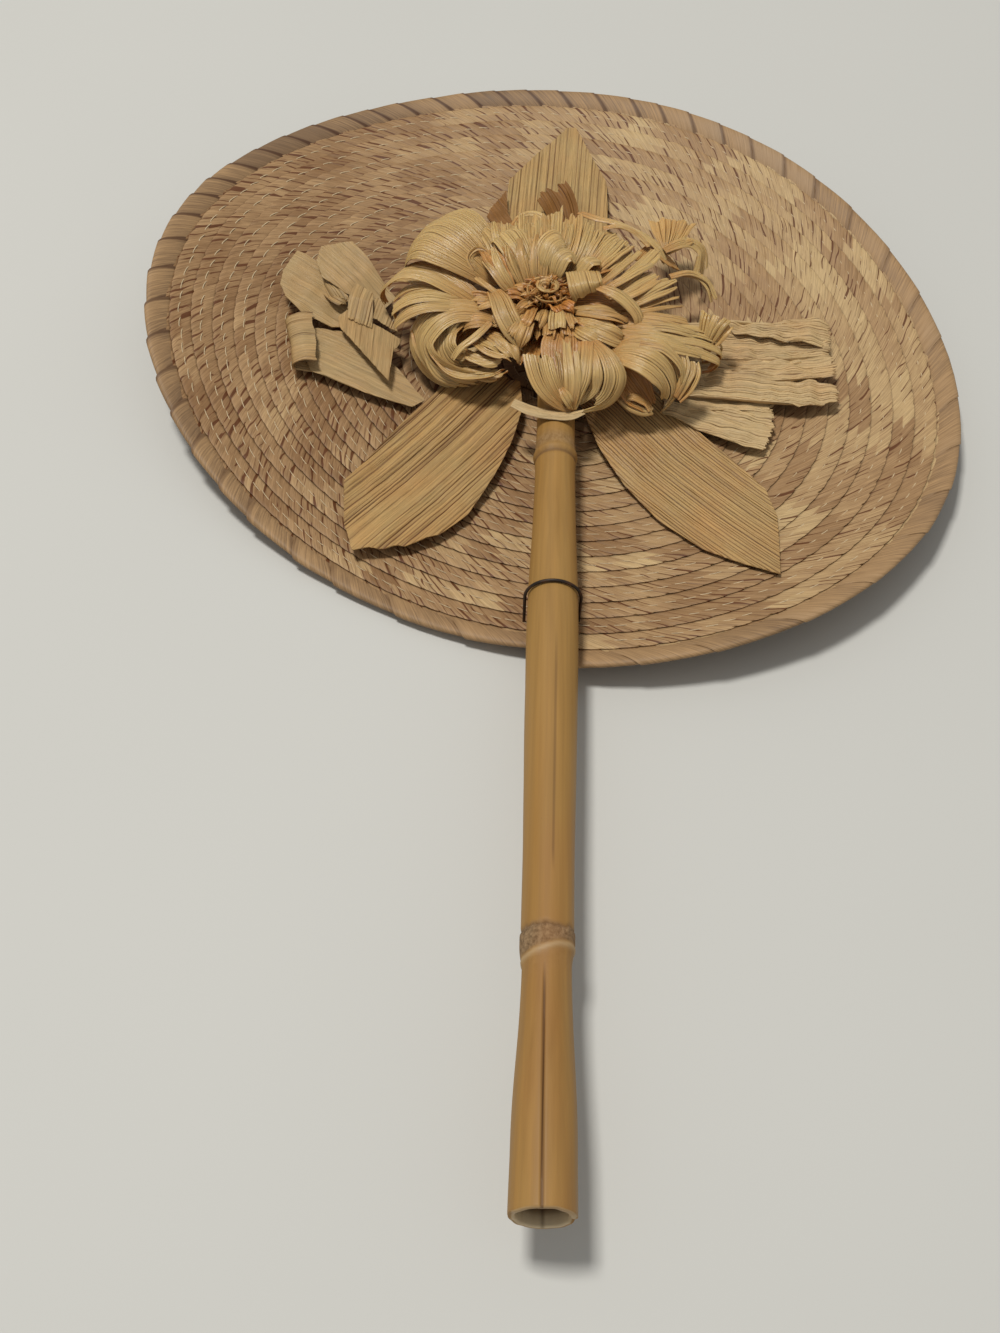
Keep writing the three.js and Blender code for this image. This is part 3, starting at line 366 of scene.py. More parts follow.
          (-64.9, 126.1, 24, 13), (-66.6, 124.4, 18, 10)], dict(shreds=3, spread=1, tint=0.1)),
    ]),
]

# Leaves and bands cut flat: outline, root and tip, height over the plate along them, and shape
LEAVES = [
    ("top_leaf", [(-19.3, 160), (-19.9, 176.1), (-19.7, 184.9), (-19.5, 196.9), (-12.8, 206.4), (-7.2, 213.4),
      (1.1, 221.5), (5.2, 226.3), (9.1, 226.4), (14.6, 214.4), (18.5, 206.3), (22.9, 196.4), (23.3, 183),
      (23, 161.5), (17.5, 124.5), (-7.3, 123.4)],
     [(4.4, 161.1), (7.4, 226.2)], [(0, 6), (0.3, 3), (0.7, 1.2), (1, 1.6)], dict(rib=1.7, deep=0.9, even=0.3)),
    ("left_leaf", [(-31.4, 90.9), (-44.3, 77.1), (-51.3, 68.2), (-64.6, 47.6), (-76.2, 27), (-74.4, 6.4),
      (-70.3, -6.8), (-51.2, -2.5), (-38.7, 4.5), (-28.8, 15.3), (-19.4, 36), (-13.7, 52.7), (-9.9, 68.4),
      (-11.1, 82.9)],
     [(-19, 82.3), (-72.5, 10.5)], [(0, 5), (0.35, 2.2), (0.7, 1.4), (1, 2.4)],
     dict(rib=1.5, deep=0.95, crinkle=0.25, crease=1.5, even=0.3)),
    ("right_leaf", [(12.6, 73.5), (19.9, 52.5), (29.2, 35.7), (42.6, 15.9), (59, -0.1), (71.8, -7.7),
      (85.1, -14.5), (86.1, 0.6), (86.7, 17), (83.4, 32), (72.5, 47.1), (59.9, 62.1), (49, 75.2), (36.9, 86),
      (20.9, 88.4)],
     [(24.9, 69.6), (84.8, 2.4)], [(0, 5), (0.35, 0.7), (0.7, 0), (1, -0.1)],
     dict(rib=1.3, deep=1.15, crinkle=0.15, even=0.45, tint=0.1)),
]

CUT_BANDS = [
    ("left_upper_ribbon", [(-105.1, 140.3), (-109.5, 128.4), (-109.8, 120), (-106.8, 114.1), (-100.2, 108),
      (-88, 104.2), (-82.5, 105.3), (-81.6, 119.3), (-84.3, 127.1), (-93.1, 134.7), (-97, 136.6),
      (-100.4, 138.6)],
     [(-82.6, 116.3), (-107.6, 128.9)], [(0, 4), (0.5, 6), (1, 6.5)], dict(deep=0.28, crinkle=0.4, rag=0.4)),
    ("left_upper_ribbon", [(-95.1, 140.6), (-82.9, 146.6), (-76.7, 140.4), (-69.8, 131), (-63.1, 123.3),
      (-67.2, 117.1), (-83.5, 119.6), (-93.2, 124.7), (-96.3, 132.4)],
     [(-67.6, 123.6), (-90.8, 142.7)], [(0, 5), (0.4, 9), (1, 10.5)], dict(deep=0.28, crinkle=0.4, rag=0.5)),
    ("left_upper_ribbon", [(-81.7, 113.9), (-79.7, 123.7), (-76.8, 122.1), (-72.1, 119.1), (-71.7, 113.1),
      (-71.3, 102.8), (-77, 104.5), (-81.5, 106.8)],
     [(-75.9, 121.7), (-78.4, 107.5)], [(0, 10.5), (0.5, 11), (1, 7.5)], dict(rib=1.3, deep=0.9, rag=0.8)),
    ("left_upper_ribbon", [(-75.1, 109.6), (-72.8, 116), (-70.2, 119.3), (-66.5, 113.3), (-63.8, 108.3),
      (-61, 103.2), (-64.2, 103.8), (-69.3, 107.3)],
     [(-67.6, 116.4), (-70, 105.6)], [(0, 8.5), (1, 7.4)], dict(rib=1.3, deep=1.3, rag=0.8)),
    ("left_upper_ribbon", [(-85.4, 108.1), (-82.1, 112.1), (-75.9, 109.4), (-66.2, 103.5), (-59.1, 98.6),
      (-60.4, 94.7), (-62.2, 91.7), (-62.4, 83.6), (-62.6, 75), (-69.9, 83.5), (-77.3, 92.9), (-84, 101.3)],
     [(-70.2, 108.3), (-70, 85.6)], [(0, 6.5), (0.4, 7.5), (1, 8.5)], dict(rib=1.4, deep=0.7, rag=0.5)),
    ("left_lower_ribbon", [(-99.3, 104.9), (-92.6, 105.3), (-83.7, 104.5), (-72, 98.5), (-60, 88), (-48.4, 73),
      (-53.3, 69.2), (-73.2, 73.6), (-86.2, 78.6), (-94.2, 81.2), (-98.9, 93)],
     [(-56.4, 75.6), (-97, 93.5)], [(0, 2), (0.4, 3.0), (0.8, 2.4), (1, 1.2)],
     dict(rib=1.3, deep=0.34, crinkle=0.4, rag=0.5)),
    ("right_upper_ribbon", [(55, 116.9), (70, 117.8), (79.7, 115.4), (93.6, 111.8), (101.4, 108.9),
      (112.8, 106.3), (113.7, 96.5), (106.5, 95.7), (100.6, 95.4), (95, 95.1), (74.8, 95.1), (54.5, 95.9)],
     [(57.2, 106.1), (112.9, 102.5)], [(0, 4.6), (0.3, 2.4), (0.7, 2.2), (1, 2.8)],
     dict(deep=1.2, crinkle=1.5, rag=2.0)),
    ("right_upper_ribbon", [(70.2, 117.7), (79.7, 114.8), (92.6, 116), (98.7, 117.6), (106.3, 117.9),
      (113.7, 114.7), (113.5, 105.1), (109.4, 103.1), (97.5, 105.5), (83.3, 109), (75.2, 111.3)],
     [(71.3, 114.5), (113.7, 108.8)], [(0, 4), (0.4, 4.8), (0.8, 5.2), (1, 3.8)],
     dict(deep=1.5, crinkle=1.6, rag=2.0)),
    ("right_middle_ribbon", [(54.5, 98.1), (74.9, 97.8), (95.1, 97), (100.7, 98.4), (107.8, 97.6),
      (112.6, 99.1), (114.5, 92.5), (113.7, 87.1), (105.8, 86.3), (98.8, 87.1), (90.2, 86.6), (74.4, 86.2),
      (54.2, 86.4)],
     [(56.8, 93.5), (113.8, 93.1)], [(0, 4), (0.4, 2.6), (0.8, 3.2), (1, 4.2)],
     dict(deep=1.2, crinkle=1.6, rag=2.2)),
    ("right_middle_ribbon", [(54.4, 91.7), (74.6, 91.4), (88.5, 92.1), (96.2, 90.3), (105.8, 86.1),
      (110.7, 83.8), (114.8, 82.5), (114.5, 74.3), (109.1, 73.5), (97.7, 71.7), (93.6, 73.5), (83.5, 79.8),
      (74, 78.4), (63.4, 76.9), (54, 77.6)],
     [(56.5, 84.1), (114.1, 78.2)], [(0, 4.6), (0.35, 3.2), (0.6, 2.8), (1, 2.8)],
     dict(rib=1.25, deep=1.4, crinkle=1.9, rag=2.4)),
    ("right_lower_ribbon", [(51, 80.5), (63.6, 79.4), (69.1, 79.3), (83.7, 80.9), (89.6, 76.1), (87.5, 72.3),
      (70, 72.7), (53.9, 71.8)],
     [(54, 76.7), (88.4, 74.5)], [(0, 3), (0.5, 1.6), (1, 1.4)], dict(rib=1.1, deep=0.6, crinkle=1.0, rag=1.6)),
    ("right_lower_ribbon", [(46.2, 77.7), (56.3, 73.9), (70.5, 74.2), (88.8, 73.5), (88.9, 69.4), (88.8, 62.8),
      (84.6, 50.4), (76.7, 52.8), (67.4, 57.4), (56, 64.1), (45.3, 70.1)],
     [(48.5, 73.3), (87.5, 59.6)], [(0, 3), (0.5, 1.5), (1, 1.3)], dict(deep=1.2, crinkle=1.3, rag=1.6)),
    ("brown_bract", [(-28.8, 171.7), (-24.8, 178.7), (-20.3, 185), (-19.1, 174), (-11.9, 160.1), (-15.9, 155.4),
      (-22.3, 170)],
     [(-20.7, 172.3), (-27, 179.6)], [(0, 6), (1, 8)], dict(rib=1.4, deep=0.8, crinkle=0.5, rag=1.0)),
]

# Bands that stand free, given as the flower's strips are
FREE_BANDS = [
    ("left_upper_ribbon", [
        ([(-93, 129.1, 21, 3), (-90, 124.4, 22.5, 6), (-86.8, 120.3, 22.5, 8), (-83.7, 116.8, 21, 8),
          (-82.4, 114.3, 19, 6)], dict(cup=1.0, crinkle=0.9, rag=0.3)),
    ]),
    ("left_lower_ribbon", [
        ([(-94.9, 94.8, 14, 25), (-99.6, 94, 14.2, 25), (-102.6, 93.4, 15.5, 25), (-102.8, 93.2, 18.4, 25),
          (-99.1, 93.8, 20.4, 25), (-92.9, 94.9, 20, 25)], dict(cup=0.08)),
    ]),
    ("brown_bract", [
        ([(8, 144.8, 20.6, 7), (7.5, 153.8, 20.6, 9), (7.1, 161.9, 20.4, 11), (5.7, 169.7, 20.4, 12),
          (3.3, 176.3, 24, 15), (0.6, 180.3, 27, 16), (-2.6, 184.7, 28.6, 15)],
         dict(cup=-0.5, rag=0.1, crinkle=1.0)),
    ]),
    ("left_upper_ribbon", [
        ([(-91.3, 122.9, 18.5, 4), (-87.9, 118.3, 20.5, 7), (-84.8, 115.5, 21, 8), (-81.6, 115, 20, 6)],
         dict(cup=-0.7, crinkle=0.9, rag=0.3, tint=0.1)),
    ]),
    ("loose_strip", [
        ([(-13.7, 56.5, 25.8, 4.4), (-7.1, 53.9, 25, 4.8), (1.3, 51.9, 24.8, 4.8), (8.8, 51.4, 25.2, 4),
          (13.7, 53, 26, 2)], {}),
    ]),
]


def tone(red, green, blue):
    """A colour as read off a colour chart, 0 to 255."""
    return (red / 255, green / 255, blue / 255)


def length_prop(label, text, value):
    return bpy.props.FloatProperty(name=label, description=text, default=value, unit="LENGTH", precision=5)


def colour_prop(label, text, value):
    return bpy.props.FloatVectorProperty(
        name=label, description=text, default=value, size=3, min=0, max=1, subtype="COLOR_GAMMA")


class PlateSettings(bpy.types.PropertyGroup):
    """Sizes and colours of the plaited plate."""

    pitch: length_prop("Round pitch", "Step from one round of braid to the next", 0.008)
    braid_width: length_prop("Braid width", "Full width of the braid", 0.0106)
    strand: length_prop("Strand width", "Length of one over and under of the plait", 0.0064)
    lap: length_prop("Strand lap", "Step where one strand passes over the next", 0.0002)
    stitch: length_prop("Stitch", "Length of one sewing stitch", 0.0064)
    wrap: length_prop("Rim wrap", "Least distance between the laps of the rim's binding", 0.0125)
    rose: colour_prop("Rose brown", "Darkest strands", tone(140, 105, 69))
    tan: colour_prop("Tan", "Usual strands", tone(169, 135, 95))
    straw: colour_prop("Straw", "Palest strands", tone(197, 168, 121))
    # the slit and seam colours are painted shadow in the gaps between strands and between the rim's laps
    shade: colour_prop("Slits", "Between the strands", tone(92, 50, 20))
    seam: colour_prop("Rim seams", "Between the laps of the binding", tone(76, 48, 29))
    thread: colour_prop("Sewing fibre", "Stitches of palm fibre", tone(205, 182, 144))
    rim_dark: colour_prop("Rim, dark", "Darker binding strips", tone(128, 101, 73))
    rim_pale: colour_prop("Rim, pale", "Paler binding strips", tone(165, 139, 109))


class StickSettings(bpy.types.PropertyGroup):
    """Sizes and colours of the bamboo stick and its wire."""

    skin: colour_prop("Skin", "Bamboo skin", tone(155, 114, 55))
    pale: colour_prop("Pale streaks", "Worn, paler skin", tone(165, 127, 69))
    scar: colour_prop("Node scar", "Scurf left by the sheath", tone(98, 76, 52))
    # the crack colour also paints the shadow deep in the bore; the cut-wood colour also paints light on the
    # mouth's lower wall and a highlight on the ridge under the lower node
    crack_and_bore_shade: colour_prop("Crack", "Inside of the split", tone(70, 42, 26))
    cut: colour_prop("Cut wood", "Sawn edge and inner wall at the mouth", tone(205, 184, 148))
    wire_size: length_prop("Wire", "Diameter of the wire ties", 0.0012)
    wire: colour_prop("Wire colour", "Dark, oxidised wire", tone(58, 50, 44))


class HuskSettings(bpy.types.PropertyGroup):
    """Sizes and colours of the husk flower, leaves and bands."""

    sheet: length_prop("Thickness", "Thickness of the dried husk", 0.00035)
    petal: colour_prop("Petal", "Satin outside of the petals", tone(207, 171, 110))
    # the root colour also tints the husk's inner faces, as a painted glow of light bounced inside the curls
    root: colour_prop("Root", "Orange roots and insides", tone(192, 120, 47))
    leaf: colour_prop("Leaf", "Leaves", tone(187, 156, 100))
    ribbon: colour_prop("Band", "Greyer bands", tone(184, 154, 104))
    # a lighter copy of the band colour for the bands right of the flower: partly paler husk, partly painted
    # light
    pale: colour_prop("Pale band", "Bleached bands", tone(208, 178, 127))
    bract: colour_prop("Bract", "Brown scraps", tone(142, 95, 36))


class StageSettings(bpy.types.PropertyGroup):
    """Floor and light."""

    floor: colour_prop("Floor", "Plain pale floor", tone(199, 198, 192))
    sky: bpy.props.FloatProperty(name="Sky", description="Strength of the even light", default=0.36, min=0)
    lamp: bpy.props.FloatProperty(name="Lamp", description="Power of the soft lamp", default=64.0, min=0)


# Meshes


def deselect():
    if bpy.context.mode != "OBJECT":
        bpy.ops.object.mode_set(mode="OBJECT")
    bpy.ops.object.select_all(action="DESELECT")


def pick(piece):
    deselect()
    piece.select_set(True)
    bpy.context.view_layer.objects.active = piece


def named(name):
    piece = bpy.context.object
    piece.name = piece.data.name = name
    return piece


def grid(name, columns, rows):
    """A grid of that many points; returns it with each point's column and row."""
    deselect()
    bpy.ops.mesh.primitive_grid_add(x_subdivisions=columns - 1, y_subdivisions=rows - 1, size=2)
    place = np.arange(columns * rows)
    return named(name), place % columns, place // columns


def set_points(piece, points):
    piece.data.vertices.foreach_set("co", (np.asarray(points) * MM).astype(np.float32).ravel())
    piece.data.update()


def get_points(piece):
    points = np.empty(len(piece.data.vertices) * 3, np.float32)
    piece.data.vertices.foreach_get("co", points)
    return points.reshape(-1, 3).astype(float) / MM


def set_marks(piece, name, red, green, blue):
    """Three values at each point, for the materials."""
    marks = np.ones((len(piece.data.vertices), 4), np.float32)
    for channel, values in enumerate((red, green, blue)):
        marks[:, channel] = values
    attribute = piece.data.attributes.new(name, "FLOAT_COLOR", "POINT")
    attribute.data.foreach_set("color", marks.ravel())


def set_uv(piece, across, along):
    corners = np.empty(len(piece.data.loops), np.int32)
    piece.data.loops.foreach_get("vertex_index", corners)
    places = np.stack([np.asarray(across)[corners], np.asarray(along)[corners]], axis=1)
    layer = piece.data.uv_layers.active or piece.data.uv_layers.new(name="UVMap")
    layer.data.foreach_set("uv", places.astype(np.float32).ravel())


def thicken(piece, thickness, offset=0.0):
    pick(piece)
    bpy.ops.object.modifier_add(type="SOLIDIFY")
    wall = piece.modifiers[-1]
    wall.thickness = thickness
    wall.offset = offset
    bpy.ops.object.modifier_apply(modifier=wall.name)


def smooth(piece, angle=50):
    pick(piece)
    bpy.ops.object.shade_smooth_by_angle(angle=math.radians(angle))


def joined(pieces, name):
    deselect()
    for piece in pieces:
        piece.select_set(True)
    bpy.context.view_layer.objects.active = pieces[0]
    if len(pieces) > 1:
        bpy.ops.object.join()
    return named(name)


def fit(piece, material, slot, *nodes):
    """Gives a finished piece its material, and the place it has in the frame."""
    piece.data.materials.clear()
    piece.data.materials.append(material)
    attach(piece, "root")
    if nodes:
        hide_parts(*nodes)


def on_floor(piece):
    points = get_points(piece)
    points[:, 2] = np.maximum(points[:, 2], FLOOR_GAP)
    set_points(piece, points)


# Materials


def linear(colour):
    return tuple(v / 12.92 if v <= 0.04045 else ((v + 0.055) / 1.055) ** 2.4 for v in colour) + (1.0,)


class Finish:
    """A material and short words for its nodes."""

    def __init__(self, name, roughness, **sockets):
        self.material = bpy.data.materials.new(name)
        self.material.use_nodes = True
        self.tree = self.material.node_tree
        self.shader = self.tree.nodes["Principled BSDF"]
        self.shader.inputs["Roughness"].default_value = roughness
        for socket, value in sockets.items():
            self.shader.inputs[socket.replace("_", " ")].default_value = value

    def put(self, socket, value):
        if isinstance(value, bpy.types.NodeSocket):
            self.tree.links.new(value, socket)
        else:
            socket.default_value = value

    def node(self, kind, out=0, inputs=(), **settings):
        node = self.tree.nodes.new("ShaderNode" + kind)
        for key, value in settings.items():
            setattr(node, key, value)
        for key, value in dict(inputs).items():
            self.put(node.inputs[key], value)
        return node.outputs[out]

    def marks(self, name):
        split = self.tree.nodes.new("ShaderNodeSeparateColor")
        self.put(split.inputs[0], self.node("Attribute", "Color", attribute_name=name))
        return split.outputs

    def place(self, scale, kind="Object"):
        source = self.node("TexCoord", kind)
        return self.node("Mapping", inputs={"Vector": source, "Scale": scale})

    def noise(self, scale, kind="Object", detail=3.0, rough=0.55):
        """Cloudy values; scale is how many to the metre along each axis."""
        return self.node("TexNoise", "Fac", {
            "Vector": self.place(scale, kind), "Scale": 1.0, "Detail": detail, "Roughness": rough})

    def sum(self, kind, one, two):
        return self.node("Math", inputs={0: one, 1: two}, operation=kind)

    def span(self, value, low, high, start=0.0, end=1.0):
        return self.node("MapRange", inputs={
            "Value": value, "From Min": low, "From Max": high, "To Min": start, "To Max": end}, clamp=True)

    def mix(self, share, one, two, kind="MIX"):
        return self.node("Mix", 2, {0: share, 6: one, 7: two}, data_type="RGBA", blend_type=kind)

    def ramp(self, value, stops):
        node = self.tree.nodes.new("ShaderNodeValToRGB")
        while len(node.color_ramp.elements) < len(stops):
            node.color_ramp.elements.new(1.0)
        for element, (place, colour) in zip(node.color_ramp.elements, stops):
            element.position, element.color = place, colour
        self.put(node.inputs[0], value)
        return node.outputs[0]

    def grey(self, value, low, high, dark, light):
        return self.ramp(value, [(low, (dark, dark, dark, 1)), (high, (light, light, light, 1))])

    def bump(self, height, distance, strength=1.0, below=None):
        inputs = {"Height": height, "Distance": distance, "Strength": strength}
        if below is not None:
            inputs["Normal"] = below
        return self.node("Bump", inputs=inputs)

    def done(self, colour, roughness=None, normal=None):
        self.put(self.shader.inputs["Base Color"], colour)
        if roughness is not None:
            self.put(self.shader.inputs["Roughness"], roughness)
        if normal is not None:
            self.put(self.shader.inputs["Normal"], normal)
        return self.material


def plait_finish(name, settings, woven):
    """Strips of palm leaf: toned by strand, streaked along it, with painted shadow in the slits and painted
    shade along the rounds' edges and where strands pass under.
    """
    finish = Finish(name, 0.6, Specular_IOR_Level=0.3)
    strand, slit, chance = finish.marks("plait")[:3]
    fibre = finish.noise((0.13, 9.0, 1.0) if woven else (0.07, 1.7, 1.0), "UV", 4.0, 0.65)
    cloud = finish.noise((38, 38, 38), "Object", 3.0)
    depth = finish.sum("ADD", strand, finish.span(cloud, 0.3, 0.7, -0.12, 0.12))
    depth = finish.sum("ADD", depth, finish.span(fibre, 0.3, 0.7, -0.16, 0.16))
    shades = (settings.rose, settings.tan, settings.straw)
    if not woven:
        shades = (settings.rim_dark, settings.tan, settings.rim_pale)
    rose, tan, straw = (linear(shade) for shade in shades)
    colour = finish.ramp(depth, [(0.05, rose), (0.5, tan), (0.95, straw)])
    colour = finish.mix(0.9, colour, finish.grey(fibre, 0.3, 0.7, 0.7, 1.16), "MULTIPLY")
    if woven:
        lapped = slit
        slit, painted_lap_shade, across = slit_lines(finish, slit, chance)
        # painted shade on each strand next to its slits, where it passes under its neighbour
        colour = finish.mix(lapped, colour, finish.grey(painted_lap_shade, 0.0, 1.0, 0.0, 1.0), "MULTIPLY")
        # painted shade along each round's inner side, where the next round in lies over it
        crease = finish.span(across, -2.9, -2.0)
        colour = finish.mix(1.0, colour, finish.grey(crease, 0.0, 1.0, 0.5, 1.0), "MULTIPLY")
    # painted shadow: slits and rim seams darkened to the gap colour
    gap = linear(settings.shade if woven else settings.seam)
    colour = finish.mix(finish.span(slit, 0.08, 1.0, 0.0, 0.92), colour, gap)
    rough = finish.span(fibre, 0.2, 0.8, 0.44, 0.66)
    return finish.done(colour, rough, finish.bump(fibre, 0.00025, 0.6))


def slit_lines(finish, strength, between):
    """Painted shadow in wedge-shaped gaps along the strands' edges and in splits inside the strands, and
    painted shade towards each strand's lapped edge.
    """
    place = finish.tree.nodes.new("ShaderNodeSeparateXYZ")
    finish.put(place.inputs[0], finish.node("TexCoord", "UV"))
    wander = finish.noise((0.1, 0.45, 1.0), "UV", 1.0)
    shifted = finish.sum("ADD", place.outputs[1], finish.span(wander, 0.25, 0.75, -0.3, 0.3))
    aside = finish.sum("PINGPONG", shifted, 0.5)
    wedge = finish.noise((0.09, 0.9, 1.0), "UV", 1.0)
    gape = finish.sum("MULTIPLY", finish.span(wedge, 0.32, 0.66, 0.0, 0.24), strength)
    edge = finish.span(finish.sum("SUBTRACT", gape, aside), 0.0, 0.02)
    gape = finish.sum("MULTIPLY", finish.span(wedge, 0.36, 0.68, 0.17, 0.0), between)
    inside = finish.span(finish.sum("ADD", finish.sum("SUBTRACT", gape, 0.5), aside), 0.0, 0.02)
    split = finish.noise((0.2, 4.5, 1.0), "UV", 1.0)
    often = finish.span(strength, 0.0, 0.6, 0.25, 1.0)
    split = finish.sum("MULTIPLY", finish.span(split, 0.66, 0.71, 0.0, 0.8), often)
    slit = finish.sum("MAXIMUM", finish.sum("MAXIMUM", edge, inside), split)
    return slit, finish.span(aside, 0.0, 0.24, 0.8, 1.0), place.outputs[0]


def thread_finish(name, settings):
    finish = Finish(name, 0.6)
    twist = finish.noise((900, 900, 900), "Object", 2.0)
    colour = finish.mix(0.8, linear(settings.thread), finish.grey(twist, 0.3, 0.7, 0.7, 1.05), "MULTIPLY")
    return finish.done(colour, None, finish.bump(twist, 0.0002, 0.5))


def bamboo_finish(name, settings):
    """Golden skin streaked lengthwise, scurfy at the nodes, pale where cut, dark along the split; also painted
    light on the mouth's lower wall and on the ridge under the node, and painted shade deep in the bore.
    """
    finish = Finish(name, 0.5, Specular_IOR_Level=0.35)
    cut_wood_and_painted_light, scar, crack_and_bore_shade = finish.marks("stick")[:3]
    streak = finish.noise((520, 7, 520), "Object", 5.0, 0.6)
    band = finish.noise((90, 4, 90), "Object", 3.0)
    speck = finish.noise((700, 500, 700), "Object", 4.0, 0.7)
    skin = linear(settings.skin)
    colour = finish.mix(finish.span(band, 0.35, 0.7), skin, linear(settings.pale))
    colour = finish.mix(0.8, colour, finish.grey(streak, 0.28, 0.72, 0.78, 1.06), "MULTIPLY")
    colour = finish.mix(finish.span(speck, 0.68, 0.76, 0.0, 0.35), colour, linear(settings.scar))
    scurf = finish.mix(finish.span(speck, 0.35, 0.65), linear(settings.scar), linear(tone(158, 130, 96)))
    colour = finish.mix(scar, colour, scurf)
    rust = finish.noise((45, 9, 45), "Object", 2.0)
    colour = finish.mix(finish.span(rust, 0.55, 0.75, 0.0, 0.4), colour, linear(tone(148, 94, 46)))
    # pale cut wood at the lip and inner wall, with painted light on the lower wall and a painted highlight on
    # the node's ridge
    colour = finish.mix(cut_wood_and_painted_light, colour, linear(settings.cut))
    # the crack colour, also painted shadow deep in the bore
    colour = finish.mix(crack_and_bore_shade, colour, linear(settings.crack_and_bore_shade))
    rough = finish.span(streak, 0.3, 0.7, 0.46, 0.64)
    rough = finish.sum("ADD", rough, finish.span(scar, 0.0, 1.0, 0.0, 0.35))
    normal = finish.bump(streak, 0.0002, 0.35)
    normal = finish.bump(finish.sum("MULTIPLY", speck, scar), 0.0008, 0.7, normal)
    return finish.done(colour, rough, normal)


def wire_finish(name, settings):
    finish = Finish(name, 0.5, Metallic=0.75)
    rust = finish.noise((420, 420, 420), "Object", 4.0)
    colour = finish.mix(finish.span(rust, 0.5, 0.75), linear(settings.wire), linear(tone(96, 66, 46)))
    return finish.done(colour, finish.span(rust, 0.3, 0.7, 0.4, 0.65), finish.bump(rust, 0.0001, 0.4))


def husk_finish(name, colour, settings, roots=0.4, gloss=0.4, glow=0.0, stain=0.8, faint=0.15, crimp=0.0):
    """Dried husk: fibres and pleats along it, painted shade in the grooves, orange towards the root and where
    tinted; the tint on inner faces is a painted glow.
    """
    finish = Finish(name, gloss, Subsurface_Weight=glow, Subsurface_Radius=(1.0, 0.8, 0.55),
                    Subsurface_Scale=0.002)
    along, groove, tint = finish.marks("husk")[:3]
    fibre = finish.noise((2.2, 0.07, 1.0), "UV", 4.0, 0.6)
    pleat = finish.noise((0.75, 0.02, 1.0), "UV", 2.0)
    fade = finish.noise((0.5, 0.07, 1.0), "UV", 1.0)
    cloud = finish.noise((55, 55, 55), "Object", 3.0)
    orange = finish.span(along, 0.0, roots, stain, 0.0)
    orange = finish.sum("MAXIMUM", orange, tint)
    orange = finish.sum("ADD", orange, finish.span(cloud, 0.35, 0.75, -0.1, 0.16))
    base = finish.mix(finish.span(orange, 0.0, 1.0), linear(colour), linear(settings.root))
    base = finish.mix(0.85, base, finish.grey(fibre, 0.28, 0.72, 0.72, 1.1), "MULTIPLY")
    base = finish.mix(0.8, base, finish.grey(pleat, 0.3, 0.7, 0.74, 1.15), "MULTIPLY")
    # painted shade in the grooves between ribs and in the valleys of folds, faded in places
    groove = finish.sum("MULTIPLY", groove, finish.span(fade, 0.35, 0.65, faint, 1.0))
    base = finish.mix(finish.span(groove, 0.2, 0.9, 0.0, 0.9), base, linear(tone(128, 86, 44)), "MULTIPLY")
    rough = finish.span(fibre, 0.3, 0.7, gloss - 0.08, gloss + 0.16)
    normal = finish.bump(pleat, 0.0006, 1.0, finish.bump(fibre, 0.0005, 1.0))
    if crimp:
        normal = finish.bump(finish.noise((230, 230, 230), "Object", 4.0, 0.6), 0.0012, crimp, normal)
    return finish.done(base, rough, normal)


# Shapes


def heading(turn):
    return np.array([math.cos(turn), math.sin(turn)])


def towards(turn, degrees, sharp):
    """One where a turn points that way, less on both sides of it."""
    return np.exp(sharp * np.cos(turn - math.radians(degrees)) - sharp)


def hump(value, middle, width):
    """One at the middle, and next to nothing two widths away."""
    return np.exp(-((value - middle) / width) ** 2)


def climb(value, over):
    """From nothing to one, as the value goes from nothing to that much."""
    return np.clip(value / over, 0, 1)


def plate_height(x, y):
    dx, dy = x - PLATE_X, y - PLATE_Y
    reach, turn = np.hypot(dx, dy) / PLATE_RADIUS, np.arctan2(dy, dx)
    return PLATE_Z + TILT * reach * np.sin(turn) + DISH * reach**2 - RIPPLE * reach**3 * np.cos(3 * turn)


def plate_top(x, y):
    return plate_height(x, y) + PLATE_HALF


def braid_point(sweep, across, above, pitch):
    """A point on the sewn spiral: sweep from its outer end, across outwards, above its face."""
    turn = START_TURN + sweep
    shape = 1 + OVAL * np.cos(2 * (turn - OVAL_TURN)) + LOBE * np.cos(3 * (turn - LOBE_TURN))
    reach = (OUTER_CENTRE - pitch * sweep / TAU + across) * shape
    x, y = PLATE_X + reach * np.cos(turn), PLATE_Y + reach * np.sin(turn)
    slope = BRAID_SLOPE * (0.55 - 0.08 * np.cos(turn))
    return np.stack([x, y, plate_height(x, y) + slope * across + above], axis=-1)


def braid_sweep(length, pitch):
    """The sweep at a length along the spiral from its outer end."""
    bend = pitch / (2 * TAU)
    inside = np.maximum(OUTER_CENTRE**2 - 4 * bend * length, 1.0)
    return (OUTER_CENTRE - np.sqrt(inside)) / (2 * bend)


def curve_through(rows, count):
    """Rows of a table as a smooth line of that many even steps."""
    rows = np.asarray(rows, float)
    steps = np.linalg.norm(np.diff(rows[:, :3], axis=0), axis=1)
    knots = np.concatenate([[0], np.cumsum(np.maximum(steps, 1e-6))])
    slopes = np.gradient(rows, knots, axis=0)
    where = np.linspace(0, knots[-1], count)
    i = np.clip(np.searchsorted(knots, where, side="right") - 1, 0, len(knots) - 2)
    h = (knots[i + 1] - knots[i])[:, None]
    f = ((where - knots[i]) / h[:, 0])[:, None]
    return ((2 * f**3 - 3 * f**2 + 1) * rows[i] + (f**3 - 2 * f**2 + f) * h * slopes[i]
            + (3 * f**2 - 2 * f**3) * rows[i + 1] + (f**3 - f**2) * h * slopes[i + 1])


